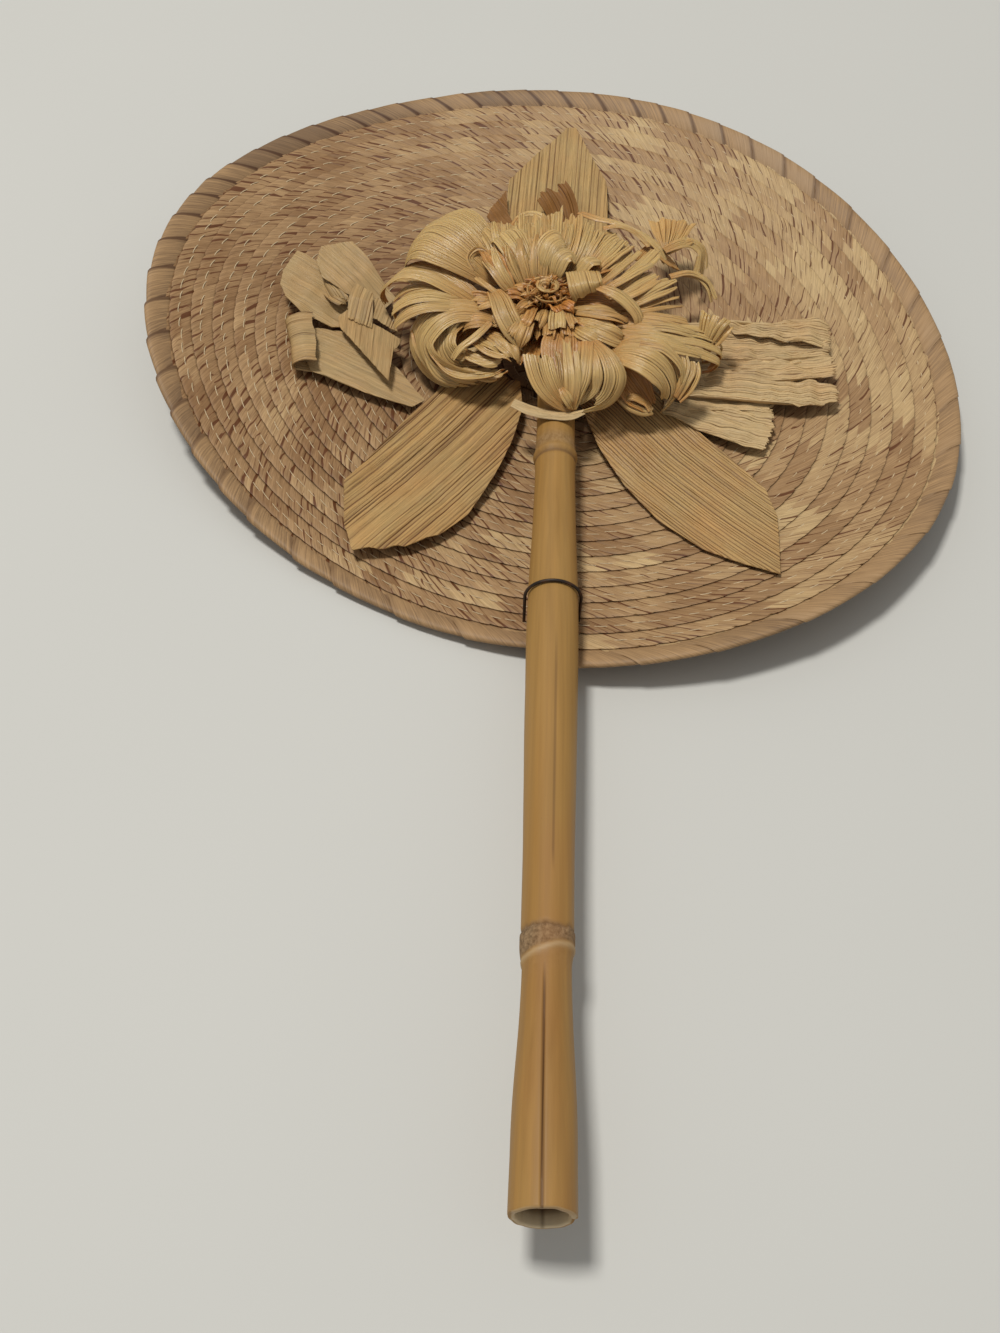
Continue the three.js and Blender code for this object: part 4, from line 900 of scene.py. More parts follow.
def along_line(line, roll):
    """Side and face directions carried along a line without twisting, then rolled."""
    ahead = np.gradient(line, axis=0)
    ahead /= np.linalg.norm(ahead, axis=1)[:, None] + 1e-12
    side = np.empty_like(ahead)
    first = np.cross(ahead[0], (0, 0, 1))
    side[0] = first / (np.linalg.norm(first) + 1e-12)
    for i in range(1, len(line)):
        turned = side[i - 1] - np.dot(side[i - 1], ahead[i]) * ahead[i]
        side[i] = turned / (np.linalg.norm(turned) + 1e-12)
    face = np.cross(side, ahead)
    angle = np.radians(np.linspace(roll[0], roll[1], len(line)))[:, None]
    return np.cos(angle) * side + np.sin(angle) * face, np.cos(angle) * face - np.sin(angle) * side


def waves(random, count, *places):
    """A seeded sum of slow waves over the given coordinates, about -1 to 1."""
    total = 0
    for _ in range(count):
        swing = sum(random.uniform(-1, 1) * place for place in places)
        total = total + np.sin(swing * TAU + random.uniform(0, TAU))
    return total / count


def rib_places(wide, spacing, random, even=0.25):
    """Places across a band from -1 to 1, three to a rib, and how deep a groove lies at each."""
    ribs = max(2, round(wide / spacing))
    edges = np.linspace(0, 1, ribs + 1)
    edges[1:-1] += random.uniform(-0.28, 0.28, ribs - 1) / ribs
    starts, widths = edges[:-1], np.diff(edges)
    places = np.stack([starts, starts + 0.33 * widths, starts + 0.67 * widths], axis=1).ravel()
    deep = np.zeros(3 * ribs + 1)
    deep[::3] = random.uniform(even, 1.0, ribs + 1)
    return 2 * np.append(places, 1.0) - 1, deep


def husk_strip(name, rows, seed, cup=0.3, roll=(0, 0), shreds=1, spread=0, tint=0.0,
               rag=0.06, crinkle=0.35, steps=26, split=0.4, rib=1.2, deep=1.0):
    """Bands of husk along a line: ribbed, cupped, split into shreds that fan out."""
    random = np.random.default_rng(seed)
    line = curve_through(rows, steps)
    width = np.maximum(line[:, 3], 0.6)
    line = line[:, :3]
    side, face = along_line(line, roll)
    length = np.linalg.norm(np.diff(line, axis=0), axis=1).sum()
    cuts = np.linspace(-1, 1, shreds + 1)
    cuts[1:-1] += random.uniform(-0.5, 0.5, shreds - 1) / shreds
    bands = []
    for low, high in zip(cuts[:-1], cuts[1:]):
        places, grooves = rib_places(width.max() * (high - low) / 2, rib, random)
        columns = len(places)
        band, column, row = grid(name, columns, steps)
        groove = grooves[column]
        share = row / (steps - 1)
        # a torn end, its columns uneven in length
        jag = random.uniform(0, 1, columns // 5 + 2)
        teeth = np.interp(np.arange(columns), np.linspace(0, columns - 1, len(jag)), jag)
        teeth = (teeth + random.uniform(-0.1, 0.1, columns)).clip(0, 1)[column] * share**3
        t = share * (1 - rag * teeth) * (1 - (0.22 * random.uniform(0, 1) if shreds > 1 else 0))
        apart = np.clip((t - split) / (1 - split), 0, 1)
        middle = (low + high) / 2
        s = middle + (high - low) / 2 * places[column] * (1 - (0.2 if shreds > 1 else 0) * apart)
        # frayed sides where the shreds part
        tear = random.uniform(-1, 1, (2, steps)).cumsum(axis=1) * 0.02
        torn = np.where(column == 0, tear[0][row], np.where(column == columns - 1, tear[1][row], 0))
        s = s + torn * apart
        place = t * (steps - 1)
        base = np.clip(place.astype(int), 0, steps - 2)
        part = (place - base)[:, None]

        def at(values):
            return values[base] * (1 - part) + values[base + 1] * part

        # cupped across, fanned out and crumpled
        wide = at(width[:, None])[:, 0] * (1 + 0.07 * waves(random, 3, 2.0 * t))
        bend = max(abs(cup), 1e-3) * (1 if cup >= 0 else -1)
        lateral = wide / (2 * bend) * np.sin(s * bend)
        drop = wide / (2 * bend) * (1 - np.cos(s * bend))
        lateral += math.tan(math.radians(spread)) * middle * length * apart**1.4 * 0.7
        lift = random.uniform(-1, 1) * apart * (1.8 if shreds > 1 else 0.0)
        lift = lift + crinkle * waves(random, 4, 1.3 * s, 2.2 * t) * (0.4 + t)
        rise = lift - drop - 0.38 * deep * groove
        set_points(band, at(line) + at(side) * lateral[:, None] + at(face) * rise[:, None])
        set_marks(band, "husk", t, groove, np.clip(tint + random.uniform(-0.08, 0.08), 0, 1))
        set_uv(band, (s + 1) * wide.mean() / 2 + random.uniform(0, 400), t * length + random.uniform(0, 400))
        bands.append(band)
    return bands


def laid(table, seed):
    """The bands of a table of strips, by piece."""
    made = {}
    for node, strips in table:
        for rows, shape in strips:
            made.setdefault(node, []).extend(husk_strip(node, rows, seed, **shape))
            seed += 1
    return made


def husk_cut(name, outline, ends, lift, settings, seed, rib=1.2, deep=0.5, crinkle=0.3, crease=0.0, rag=0.3,
             even=0.25, tint=0.0, steps=36):
    """A flat piece of husk cut to an outline, its ribs straight from root to tip, lying over the plate."""
    random = np.random.default_rng(seed)
    root, tip = np.array(ends, float)
    whole = np.linalg.norm(tip - root)
    ahead = (tip - root) / whole
    side = np.array([-ahead[1], ahead[0]])
    corners = np.array(outline) - root
    across, along = corners @ side, corners @ ahead
    low, high = across.min() + 0.15, across.max() - 0.15
    places, grooves = rib_places(high - low, rib, random, even)
    lines = (low + high) / 2 + places * (high - low) / 2
    starts, stops = [], []
    for line in lines:  # from the first to the last place where the outline crosses it
        cuts = []
        for i in range(len(corners)):
            one, two = across[i - 1], across[i]
            if (one - line) * (two - line) < 0:
                cuts.append(along[i - 1] + (along[i] - along[i - 1]) * (line - one) / (two - one))
        starts.append(min(cuts))
        stops.append(max(cuts))
    starts, stops = np.array(starts), np.array(stops)
    stops = stops - rag * random.uniform(0, 1, len(lines)) * np.clip((stops - starts) / 6, 0, 1)
    sheet, column, row = grid(name, len(lines), steps)
    share = row / (steps - 1)
    t = starts[column] + (stops - starts)[column] * share
    flat = root + t[:, None] * ahead + lines[column][:, None] * side
    groove = deep * grooves[column]
    part = np.clip(t / whole, -0.2, 1.2)
    height = plate_top(flat[:, 0], flat[:, 1]) + HUSK_GAP + settings.sheet / MM / 2
    height = height + np.interp(part, *zip(*lift))
    s = lines[column] / 10
    height = height + crinkle * (1 + waves(random, 6, 1.3 * s, t / 7)) - 0.36 * groove
    if crease:
        fold = waves(random, 5, 2.2 * s, t / 110)
        height = height + crease * (0.6 + fold)
        # the fold's valleys also get painted shade, through the groove mark
        groove = groove + 0.55 * np.clip(-fold * 2 - 0.2, 0, 1)
    set_points(sheet, np.column_stack([flat, height]))
    set_marks(sheet, "husk", np.clip(part, 0, 1), np.clip(groove, 0, 1), tint + random.uniform(0, 0.08))
    set_uv(sheet, lines[column] + random.uniform(100, 400), t + random.uniform(0, 400))
    return sheet


def husk_piece(bands, name, settings, finish, slot, node, inside):
    """Joins bands of husk, gives them their thickness and an orange inner face, a painted glow of light bounced
    and shining through.
    """
    piece = joined(bands, name)
    count = len(piece.data.vertices)
    before = get_points(piece)
    normals = np.empty(count * 3, np.float32)
    piece.data.vertices.foreach_get("normal", normals)
    thicken(piece, settings.sheet)
    outwards = np.sum((get_points(piece)[:count] - before) * normals.reshape(-1, 3)) > 0
    marks = piece.data.attributes["husk"]
    values = np.empty(len(piece.data.vertices) * 4, np.float32)
    marks.data.foreach_get("color", values)
    values = values.reshape(-1, 4)
    # painted glow: the inner faces get extra orange tint in place of light bounced and shining through the thin
    # husk
    inner = (np.arange(len(values)) >= count) == outwards
    values[inner, 2] = np.clip(values[inner, 2] + inside, 0, 1)
    marks.data.foreach_set("color", values.ravel())
    smooth(piece, 60)
    fit(piece, finish, slot, node)


def tube(name, path, radius):
    """A round wire along a path, made from a bevelled curve."""
    deselect()
    bpy.ops.curve.primitive_nurbs_path_add()
    wire = named(name)
    wire.data.splines.clear()
    spline = wire.data.splines.new("POLY")
    spline.points.add(len(path) - 1)
    spline.points.foreach_set("co", np.column_stack([np.asarray(path) * MM, np.ones(len(path))]).ravel())
    wire.data.bevel_depth = radius * MM
    wire.data.bevel_resolution = WIRE_STEPS
    wire.data.use_fill_caps = True
    pick(wire)
    bpy.ops.object.convert(target="MESH")
    return named(name)


# Pieces


class FAN_OT_woven_plate(bpy.types.Operator):
    """Plait the braid as one spiral and sew its rounds together"""

    bl_idname = "fan.woven_plate"
    bl_label = "Woven plate"

    def execute(self, context):
        settings = context.scene.fan_plate
        pitch, strand, lap = settings.pitch / MM, settings.strand / MM, settings.lap / MM
        half = settings.braid_width / MM / 2
        random = np.random.default_rng(7)
        total = OUTER_CENTRE * TAU * ROUNDS - pitch / (2 * TAU) * (TAU * ROUNDS) ** 2
        cells = round(total / strand)
        finish = plait_finish("palm_plait", settings, True)
        shades = self.shades(random, cells, strand, pitch)
        splice = cells * 2 // 5  # the cell where the inner length of braid starts
        lengths = (("Plaited_braid_outer", 0, splice), ("Plaited_braid_inner", splice, cells))
        for name, first, last in lengths:
            braid = self.plait(name, first, last, pitch, strand, lap, half, shades)
            fit(braid, finish, "palm_braid", "braid_coil")
        self.sew(settings, total, pitch)
        return {"FINISHED"}

    def shades(self, random, cells, strand, pitch):
        """Tones of the inner and outer half of each cell: runs of straw, tan and rose, with painted shade to
        the left and painted light to the right and upper right.
        """
        runs = np.cumsum(random.uniform(0, 1, cells) < 0.42)
        kind = random.uniform(0, 1, runs[-1] + 1)
        straw, tan, rose, mean = 0.82, 0.5, 0.2, 0.46
        tones = np.where(kind < 0.26, straw, np.where(kind < 0.74, tan, rose))
        tones = tones + random.normal(0, 0.07, len(tones))
        turn = START_TURN + braid_sweep(np.arange(cells) * strand, pitch)
        calm = 0.5 + 0.5 * np.cos(turn + TAU / 6)
        tones = mean + (tones[runs] - mean) * (0.45 + 0.4 * calm)
        # painted light and shade by side: strands darker to the left and towards 150 degrees, lighter to the
        # right and towards 60 degrees
        painted_light_and_shade_by_side = 0.14 * np.cos(turn - math.radians(10)) - 0.03
        painted_light_and_shade_by_side = painted_light_and_shade_by_side + 0.11 * towards(turn, 60, 4) - 0.14 * towards(turn, 150, 3)
        outer = tones + painted_light_and_shade_by_side + random.uniform(-0.05, 0.05, cells)
        inner = np.roll(tones, 1) + painted_light_and_shade_by_side + random.uniform(-0.05, 0.05, cells)
        return np.stack([inner, outer], axis=1)

    def plait(self, name, first, last, pitch, strand, lap, half, shades):
        """A length of flat plait: slanted strands in two half-rows that pass over each other in turn."""
        random = np.random.default_rng(first + 3)
        shares = np.array([0.025, 0.2, 0.5, 0.8, 0.975])  # places along one cell
        pillow = np.array([-0.55, 0.25, 0.45, 0.3, -0.35]) * lap  # height of the strand there
        rows_at = np.array([-5.3, -2.9, -1.7, -0.4, 0.75, 1.25, 2.4, 3.6, 4.7, 5.3]) / 5.3 * half
        crown = 0.24 * (1 - (rows_at / half) ** 2) - 0.1
        crown[-1] -= 0.25  # the outer edge is tucked down
        braid, column, row = grid(name, (last - first) * len(shares) + 1, len(rows_at))
        cell = np.minimum(first + column // len(shares), len(shades) - 1)
        spot = column % len(shares)
        across = rows_at[row]
        outer = (row > 4).astype(int)  # which of the two half-rows
        middle = braid_sweep(cell * strand, pitch)
        slant = 1.25 + 0.2 * np.cos(START_TURN + middle + math.radians(20))
        slant = slant * np.clip((OUTER_CENTRE - pitch * middle / TAU) / 60, 0.2, 1)
        phase = (first + column // len(shares)) + shares[spot]
        length = phase * strand + slant * across
        edge = np.where(np.abs(across) > half * 0.95, np.sign(across), 0)
        count = len(shades)
        deep = random.uniform(0.4, 1.3, (count, 2))[cell, outer]
        scallop = np.array([-0.35, -0.1, 0.1, 0.05, -0.15])[spot] * edge * deep
        over = 0.35 * lap * ((cell + outer) % 2)
        above = pillow[spot] * deep + over + crown[row] + random.uniform(-0.05, 0.05, (count, 2))[cell, outer]
        set_points(braid, braid_point(braid_sweep(length, pitch), across + scallop, above + BRAID_RISE, pitch))
        # painted shadow in each cell's slits and splits, at random strength, stronger towards the left
        open_up = 0.66 - 0.16 * np.cos(START_TURN + middle + math.radians(20))
        slit = open_up * random.uniform(-0.3, 1.3, (count, 2)).clip(0)[cell, outer]
        set_marks(braid, "plait", shades[cell, outer], slit,
                  open_up * random.uniform(-0.6, 1, (count, 2)).clip(0)[cell, outer])
        set_uv(braid, across, phase)
        thicken(braid, BRAID_SHEET, 1.0)
        on_floor(braid)
        smooth(braid, 40)
        return braid

    def sew(self, settings, total, pitch):
        """One stitch, copied round the spiral on both faces."""
        # a thread in four lengths, open at its ends
        deselect()
        bpy.ops.mesh.primitive_cylinder_add(vertices=5, radius=0.5, depth=1, end_fill_type="NOTHING")
        stitches = named("Sewing_stitches")
        bpy.ops.object.mode_set(mode="EDIT")
        bpy.ops.mesh.select_mode(type="EDGE")
        bpy.ops.mesh.select_all(action="DESELECT")
        bpy.ops.object.mode_set(mode="OBJECT")
        points = stitches.data.vertices
        for line in stitches.data.edges:
            line.select = abs(points[line.vertices[0]].co.z - points[line.vertices[1]].co.z) > 0.5
        bpy.ops.object.mode_set(mode="EDIT")
        bpy.ops.mesh.subdivide(number_cuts=3)
        bpy.ops.mesh.select_mode(type="VERT")
        bpy.ops.object.mode_set(mode="OBJECT")
        # copied for both faces of all rounds but the outer one, which the rim hides
        copies = 2 * round((total - OUTER_CENTRE * TAU) / (settings.stitch / MM))
        each = len(points)
        bpy.ops.object.modifier_add(type="ARRAY")
        rows = stitches.modifiers[-1]
        rows.count = copies
        rows.use_merge_vertices = False
        bpy.ops.object.modifier_apply(modifier=rows.name)
        # each copy laid along the seam, uneven, sunk at its ends
        shape = np.tile(get_points(stitches)[:each] * MM, (copies, 1))
        copy = np.arange(len(shape)) // each
        under = copy % 2
        random = np.random.default_rng(19)
        jitter = random.uniform(-1, 1, (copies, 4))[copy]
        along, side, rise = shape[:, 2], shape[:, 0], shape[:, 1]
        seam, thread = 1.2, 0.4  # the seam's place across the braid, and the fibre's thickness
        taper = 1 - 0.6 * (2 * np.abs(along)) ** 3
        turn = np.where(under, -1.0, 1.0)
        begin = OUTER_CENTRE * TAU
        middle = begin + (copy // 2 + 0.5) * 2 * (total - begin) / copies
        length = middle + jitter[:, 0] * 0.6 + along * settings.stitch / MM * (1.0 + 0.15 * jitter[:, 1])
        across = seam + 0.45 * jitter[:, 2] + turn * side * taper * thread
        across = across + (0.9 + 0.5 * jitter[:, 3]) * along + 0.35 * (1 - 4 * along**2)
        sunk = 0.28 + 0.2 * np.cos(START_TURN + braid_sweep(middle, pitch) - math.radians(20))
        arch = 0.86 - sunk - 0.45 * (2 * np.abs(along)) ** 4 + rise * taper * thread
        above = np.where(under, -0.05 - arch, 0.05 + arch)
        set_points(stitches, braid_point(braid_sweep(length, pitch), across, above, pitch))
        on_floor(stitches)
        smooth(stitches, 70)
        fit(stitches, thread_finish("palm_fibre", settings), "palm_braid")


class FAN_OT_rim_wrap(bpy.types.Operator):
    """Wrap the outer round of braid in a lapped strip"""

    bl_idname = "fan.rim_wrap"
    bl_label = "Rim wrap"

    def execute(self, context):
        settings = context.scene.fan_plate
        pitch, lap = settings.pitch / MM, settings.wrap / MM
        random = np.random.default_rng(31)
        run = np.concatenate([[0], np.cumsum(np.linalg.norm(np.diff(RIM_SECTION, axis=0), axis=1))])
        shares = np.array([0.004, 0.045, 0.11, 0.35, 0.65, 0.9, 0.955, 0.996])  # places along one lap
        whole = OUTER_CENTRE * (TAU - 5 / OUTER_CENTRE)  # all round but 5 mm
        marks = [0.0]
        while marks[-1] < whole - lap:
            turn = START_TURN + marks[-1] / OUTER_CENTRE
            calm = 0.5 + 0.5 * math.cos(turn - math.radians(300))
            marks.append(marks[-1] + lap * (1 + 1.3 * calm) * random.uniform(0.85, 1.2))
        marks = np.array(marks) * whole / marks[-1]
        laps = len(marks) - 1
        rim, column, row = grid("Rim_wrap", laps * len(shares) + 2, len(RIM_SECTION))
        first = column
        column = np.clip(column - 1, 0, laps * len(shares) - 1)
        cell, spot = column // len(shares), column % len(shares)
        length = marks[cell] + shares[spot] * np.diff(marks)[cell]
        ends = np.minimum(length, whole - length) / 12
        slant = 0.9
        length = length + (run[row] - 9.0) * slant * np.clip(ends, 0, 1)
        length = np.where(first == 0, 0.0, np.where(first == laps * len(shares) + 1, whole, length))
        length = np.clip(length, 0, whole)
        turn = START_TURN + length / OUTER_CENTRE
        rough = 0.25 + 0.6 * towards(turn, 215, 2)
        step = (0.5 - shares[spot]) * 1.25 * rough * (0.7 + 0.6 * random.uniform(0, 1, laps)[cell])
        outwards = RIM_SECTION - np.array([1.5, 0])
        outwards /= np.linalg.norm(outwards, axis=1)[:, None]
        ring = RIM_SECTION[row] + outwards[row] * (step - 0.2)[:, None]
        ring[:, 0] += 0.2 * waves(random, 4, length / 40, length / 90)
        set_points(rim, braid_point(length / OUTER_CENTRE, ring[:, 0], ring[:, 1], pitch))
        # painted shadow at both ends of each lap, where the laps meet, strongest towards 130 degrees
        seam = np.array([1.0, 1.0, 0.2, 0.0, 0.0, 0.12, 1.0, 1.0])[spot]
        slit = seam * (0.55 + 0.45 * np.cos(turn - math.radians(130)))
        shade = 0.36 + 0.16 * waves(random, 3, cell / 9.0) + random.uniform(-0.14, 0.14, laps)[cell]
        # painted light and shade by side: the binding lighter to the right and towards 55 degrees, darker
        # towards 140 degrees; each lap also grows darker from its start to its end
        shade = shade + 0.05 * np.cos(turn) - 0.2 * (shares[spot] - 0.5)
        shade = shade + 0.2 * hump(turn, math.radians(55), 0.5)
        shade = shade - 0.28 * hump(turn, math.radians(140), 0.5)
        set_marks(rim, "plait", shade, slit, 0.0)
        set_uv(rim, run[row] + 13.0 * (cell % 53), 0.74 * (length - slant * run[row]) + 5.3 * (cell % 17))
        thicken(rim, RIM_SHEET, 1.0)
        on_floor(rim)
        smooth(rim, 50)
        fit(rim, plait_finish("rim_strip", settings, False), "palm_binding", "rim_binding")
        return {"FINISHED"}


def stick_radius(m):
    places, radii = zip(*STICK_RADII)
    i = np.clip(np.searchsorted(places, m, side="right") - 1, 0, len(places) - 2)
    places, radii = np.array(places, float), np.array(radii)
    f = np.clip((m - places[i]) / (places[i + 1] - places[i]), 0, 1)
    f = f * f * (3 - 2 * f)
    return radii[i] + (radii[i + 1] - radii[i]) * f


class FAN_OT_bamboo_stick(bpy.types.Operator):
    """Turn the bamboo stick with its nodes, split and hollow mouth"""

    bl_idname = "fan.bamboo_stick"
    bl_label = "Bamboo stick"
    sides = 128

    def execute(self, context):
        settings = context.scene.fan_stick
        # rings along the stick, close together at its nodes
        stations = np.unique(np.concatenate([
            np.linspace(0, 8, 9), np.linspace(8, 70, 16), np.arange(70, 96, 0.7), np.linspace(96, 278, 24),
            np.arange(278, 304, 0.8), np.linspace(304, STICK_LENGTH, 10)]))
        # the floor of the bore first, then its wall, the lip, the outside and the far end
        deselect()
        mouth = float(stick_radius(0.0))
        bore = float(stick_radius(BORE)) - WALL
        bpy.ops.mesh.primitive_circle_add(
            vertices=self.sides, radius=bore * MM, fill_type="NOTHING", location=(0, 0, BORE * MM))
        stick = named("Bamboo_stick")
        pick(stick)
        bpy.ops.object.transform_apply(location=True)
        bpy.ops.object.mode_set(mode="EDIT")
        bpy.ops.mesh.select_all(action="SELECT")
        bpy.ops.mesh.edge_face_add()
        bpy.ops.mesh.inset(thickness=bore * 0.6 * MM)
        bpy.ops.object.mode_set(mode="OBJECT")
        reach = np.linalg.norm(get_points(stick)[:, :2], axis=1)
        for point, far in zip(stick.data.vertices, reach):
            point.select = bool(far > bore - 0.5)
        for line in stick.data.edges:
            line.select = all(stick.data.vertices[v].select for v in line.vertices)
        for side in stick.data.polygons:
            side.select = False
        bpy.ops.object.mode_set(mode="EDIT")
        bpy.ops.mesh.select_mode(type="EDGE")
        level, reach = BORE, bore
        inner = [(m, float(stick_radius(m)) - WALL) for m in np.linspace(BORE, 0.6, 24)[1:]]
        outer = [(m, float(stick_radius(m))) for m in stations]
        outer[0] = (0.5, outer[0][1])
        lip = [(0.15, mouth - WALL + 0.3), (0.0, mouth - 1.2), (0.0, mouth - 0.7), (0.15, mouth - 0.2)]
        cap = [(STICK_LENGTH, 7.0), (STICK_LENGTH + 0.2, 6.4)]
        for m, radius in inner + lip + outer + cap:
            bpy.ops.mesh.extrude_edges_move(TRANSFORM_OT_translate={"value": (0, 0, (m - level) * MM)})
            bpy.ops.transform.resize(value=(radius / reach, radius / reach, 1))
            level, reach = m, radius
        bpy.ops.mesh.edge_face_add()
        bpy.ops.mesh.select_mode(type="VERT")
        bpy.ops.mesh.select_all(action="SELECT")
        bpy.ops.mesh.normals_make_consistent(inside=False)
        bpy.ops.object.mode_set(mode="OBJECT")
        self.weather(stick)
        smooth(stick, 45)
        fit(stick, bamboo_finish("bamboo_skin", settings), "bamboo", "bamboo_handle")
        return {"FINISHED"}

    def weather(self, stick):
        """Node scars, the long split and slight unevenness, painted light and shade in the mouth and on the
        node's ridge, then the stick's place.
        """
        random = np.random.default_rng(5)
        points = get_points(stick)
        reach, m = np.linalg.norm(points[:, :2], axis=1), points[:, 2]
        turn = np.arctan2(points[:, 1], points[:, 0])
        front = np.abs(turn + math.radians(94) + 0.0009 * m)
        under = np.abs(turn - math.radians(88))
        below = 0.5 + 0.5 * np.sin(turn)
        outside = reach > stick_radius(m) - 1.0
        wavy = waves(random, 5, 2 * turn / TAU * 2, m / 60) * 0.12
        uneven = waves(random, 5, np.cos(turn) * 2, np.sin(turn) * 2)
        # the lower node's scar with a ridge and a dark line at its ends, then the upper node
        low = LOWER_NODE + 2.4 * np.cos(turn) + 0.25 * uneven
        high = LOWER_NODE_TOP + 3.0 * below * (1 - below)
        high = high + 0.9 * waves(random, 5, np.cos(turn) * 3, np.sin(turn) * 3.2)
        scurf = climb(m - low, 0.8) * climb(high - m, 0.8)
        line, ridge = hump(m, high, 0.7), hump(m - low, -1.0, 0.9)
        stain = climb(m - low + 11, 9) * climb(low - 1.5 - m, 1.5)
        ring, rolled = hump(m, UPPER_NODE, 0.9), hump(m, UPPER_RIDGE, 1.2)
        speckled = hump(m, UPPER_SCURF, 4.0)
        grow = wavy + 0.28 * scurf - 0.4 * line + 0.45 * ridge - 0.55 * ring + 0.5 * rolled + 0.25 * speckled
        # the long split in front, and a faint crack beyond the node
        split = hump(front * reach, 0, 0.36) * climb(74 - m, 10)
        faint = hump(np.abs(turn + math.radians(83)) * reach, 0, 0.3) * climb(m - 104, 6)
        faint = faint * climb(200 - m, 15) * 0.55
        grow = np.where(outside, grow - 0.55 * split, -0.25 * split)
        factor = (reach + grow) / np.maximum(reach, 1e-6)
        points[:, :2] *= factor[:, None]
        # the chipped, slanting cut of the mouth
        chip = 1.7 * hump(turn, 0.25, 0.14) + 0.25 * uneven + 0.9 * below
        points[:, 2] += chip * np.clip(1 - m / 4, 0, 1)
        scar = np.clip(0.9 * scurf + 0.5 * line + 0.2 * ring + 0.5 * speckled + 0.16 * stain, 0, 1)
        scar = np.where(outside, scar, 0.0)
        # inside the mouth: the cut wall is pale wood, paler on its lower half as painted light, and from about
        # 4 mm in it turns to painted shadow; outside: a painted highlight on the ridge under the lower node
        deep = climb(m - 4.0 - uneven, 2.5)
        dark = np.where(outside, 0.9 * split + faint + 0.35 * line + 0.5 * ring, 0.85 * deep)
        dark = np.where(outside, dark, dark + 0.5 * hump(under * reach, 0, 0.5)).clip(0, 1)
        cut_wood_and_painted_light = np.where(outside & (m > 0.4), 0.35 * ridge, (0.25 + 0.75 * below) * (1 - deep))
        set_marks(stick, "stick", cut_wood_and_painted_light, scar, dark)
        place = Matrix.Translation(Vector(MOUTH * MM)) @ Matrix.Rotation(-math.pi / 2 + STICK_LEAN, 4, "X")
        set_points(stick, points)
        stick.data.transform(place)
        stick.data.update()


class FAN_OT_wire_ties(bpy.types.Operator):
    """Bend the two wire staples over the stick"""

    bl_idname = "fan.wire_ties"
    bl_label = "Wire ties"

    def execute(self, context):
        settings = context.scene.fan_stick
        finish = wire_finish("dark_wire", settings)
        for node in ("lower_wire_tie", "upper_wire_tie"):
            low, high = (np.array(corner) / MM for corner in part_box(node))
            middle = (low + high) / 2
            y = middle[1]
            radius = settings.wire_size / MM / 2
            axis = MOUTH[2] + (y - MOUTH[1]) * math.tan(STICK_LEAN)
            reach = (high[0] - low[0]) / 2 - radius
            foot = low[2] + radius
            arch = [(middle[0] - reach * math.cos(a), y, axis + (high[2] - radius - axis) * math.sin(a))
                    for a in np.linspace(0, math.pi, 25)]
            shift = (high[1] - low[1]) / 2 - radius
            left, right = middle[0] - reach, middle[0] + reach
            start = [(left + 10, y - shift, foot), (left + 5, y - shift, foot),
                     (left + 1.2, y - shift / 2, foot), (left + 0.2, y, foot + 1.0)]
            stop = [(right - 0.2, y, foot + 1.0), (right - 1.2, y + shift / 2, foot),
                    (right - 5, y + shift, foot), (right - 10, y + shift, foot)]
            tie = tube(node.title(), start + arch + stop, radius)
            smooth(tie, 60)
            fit(tie, finish, "wire", node)
        return {"FINISHED"}


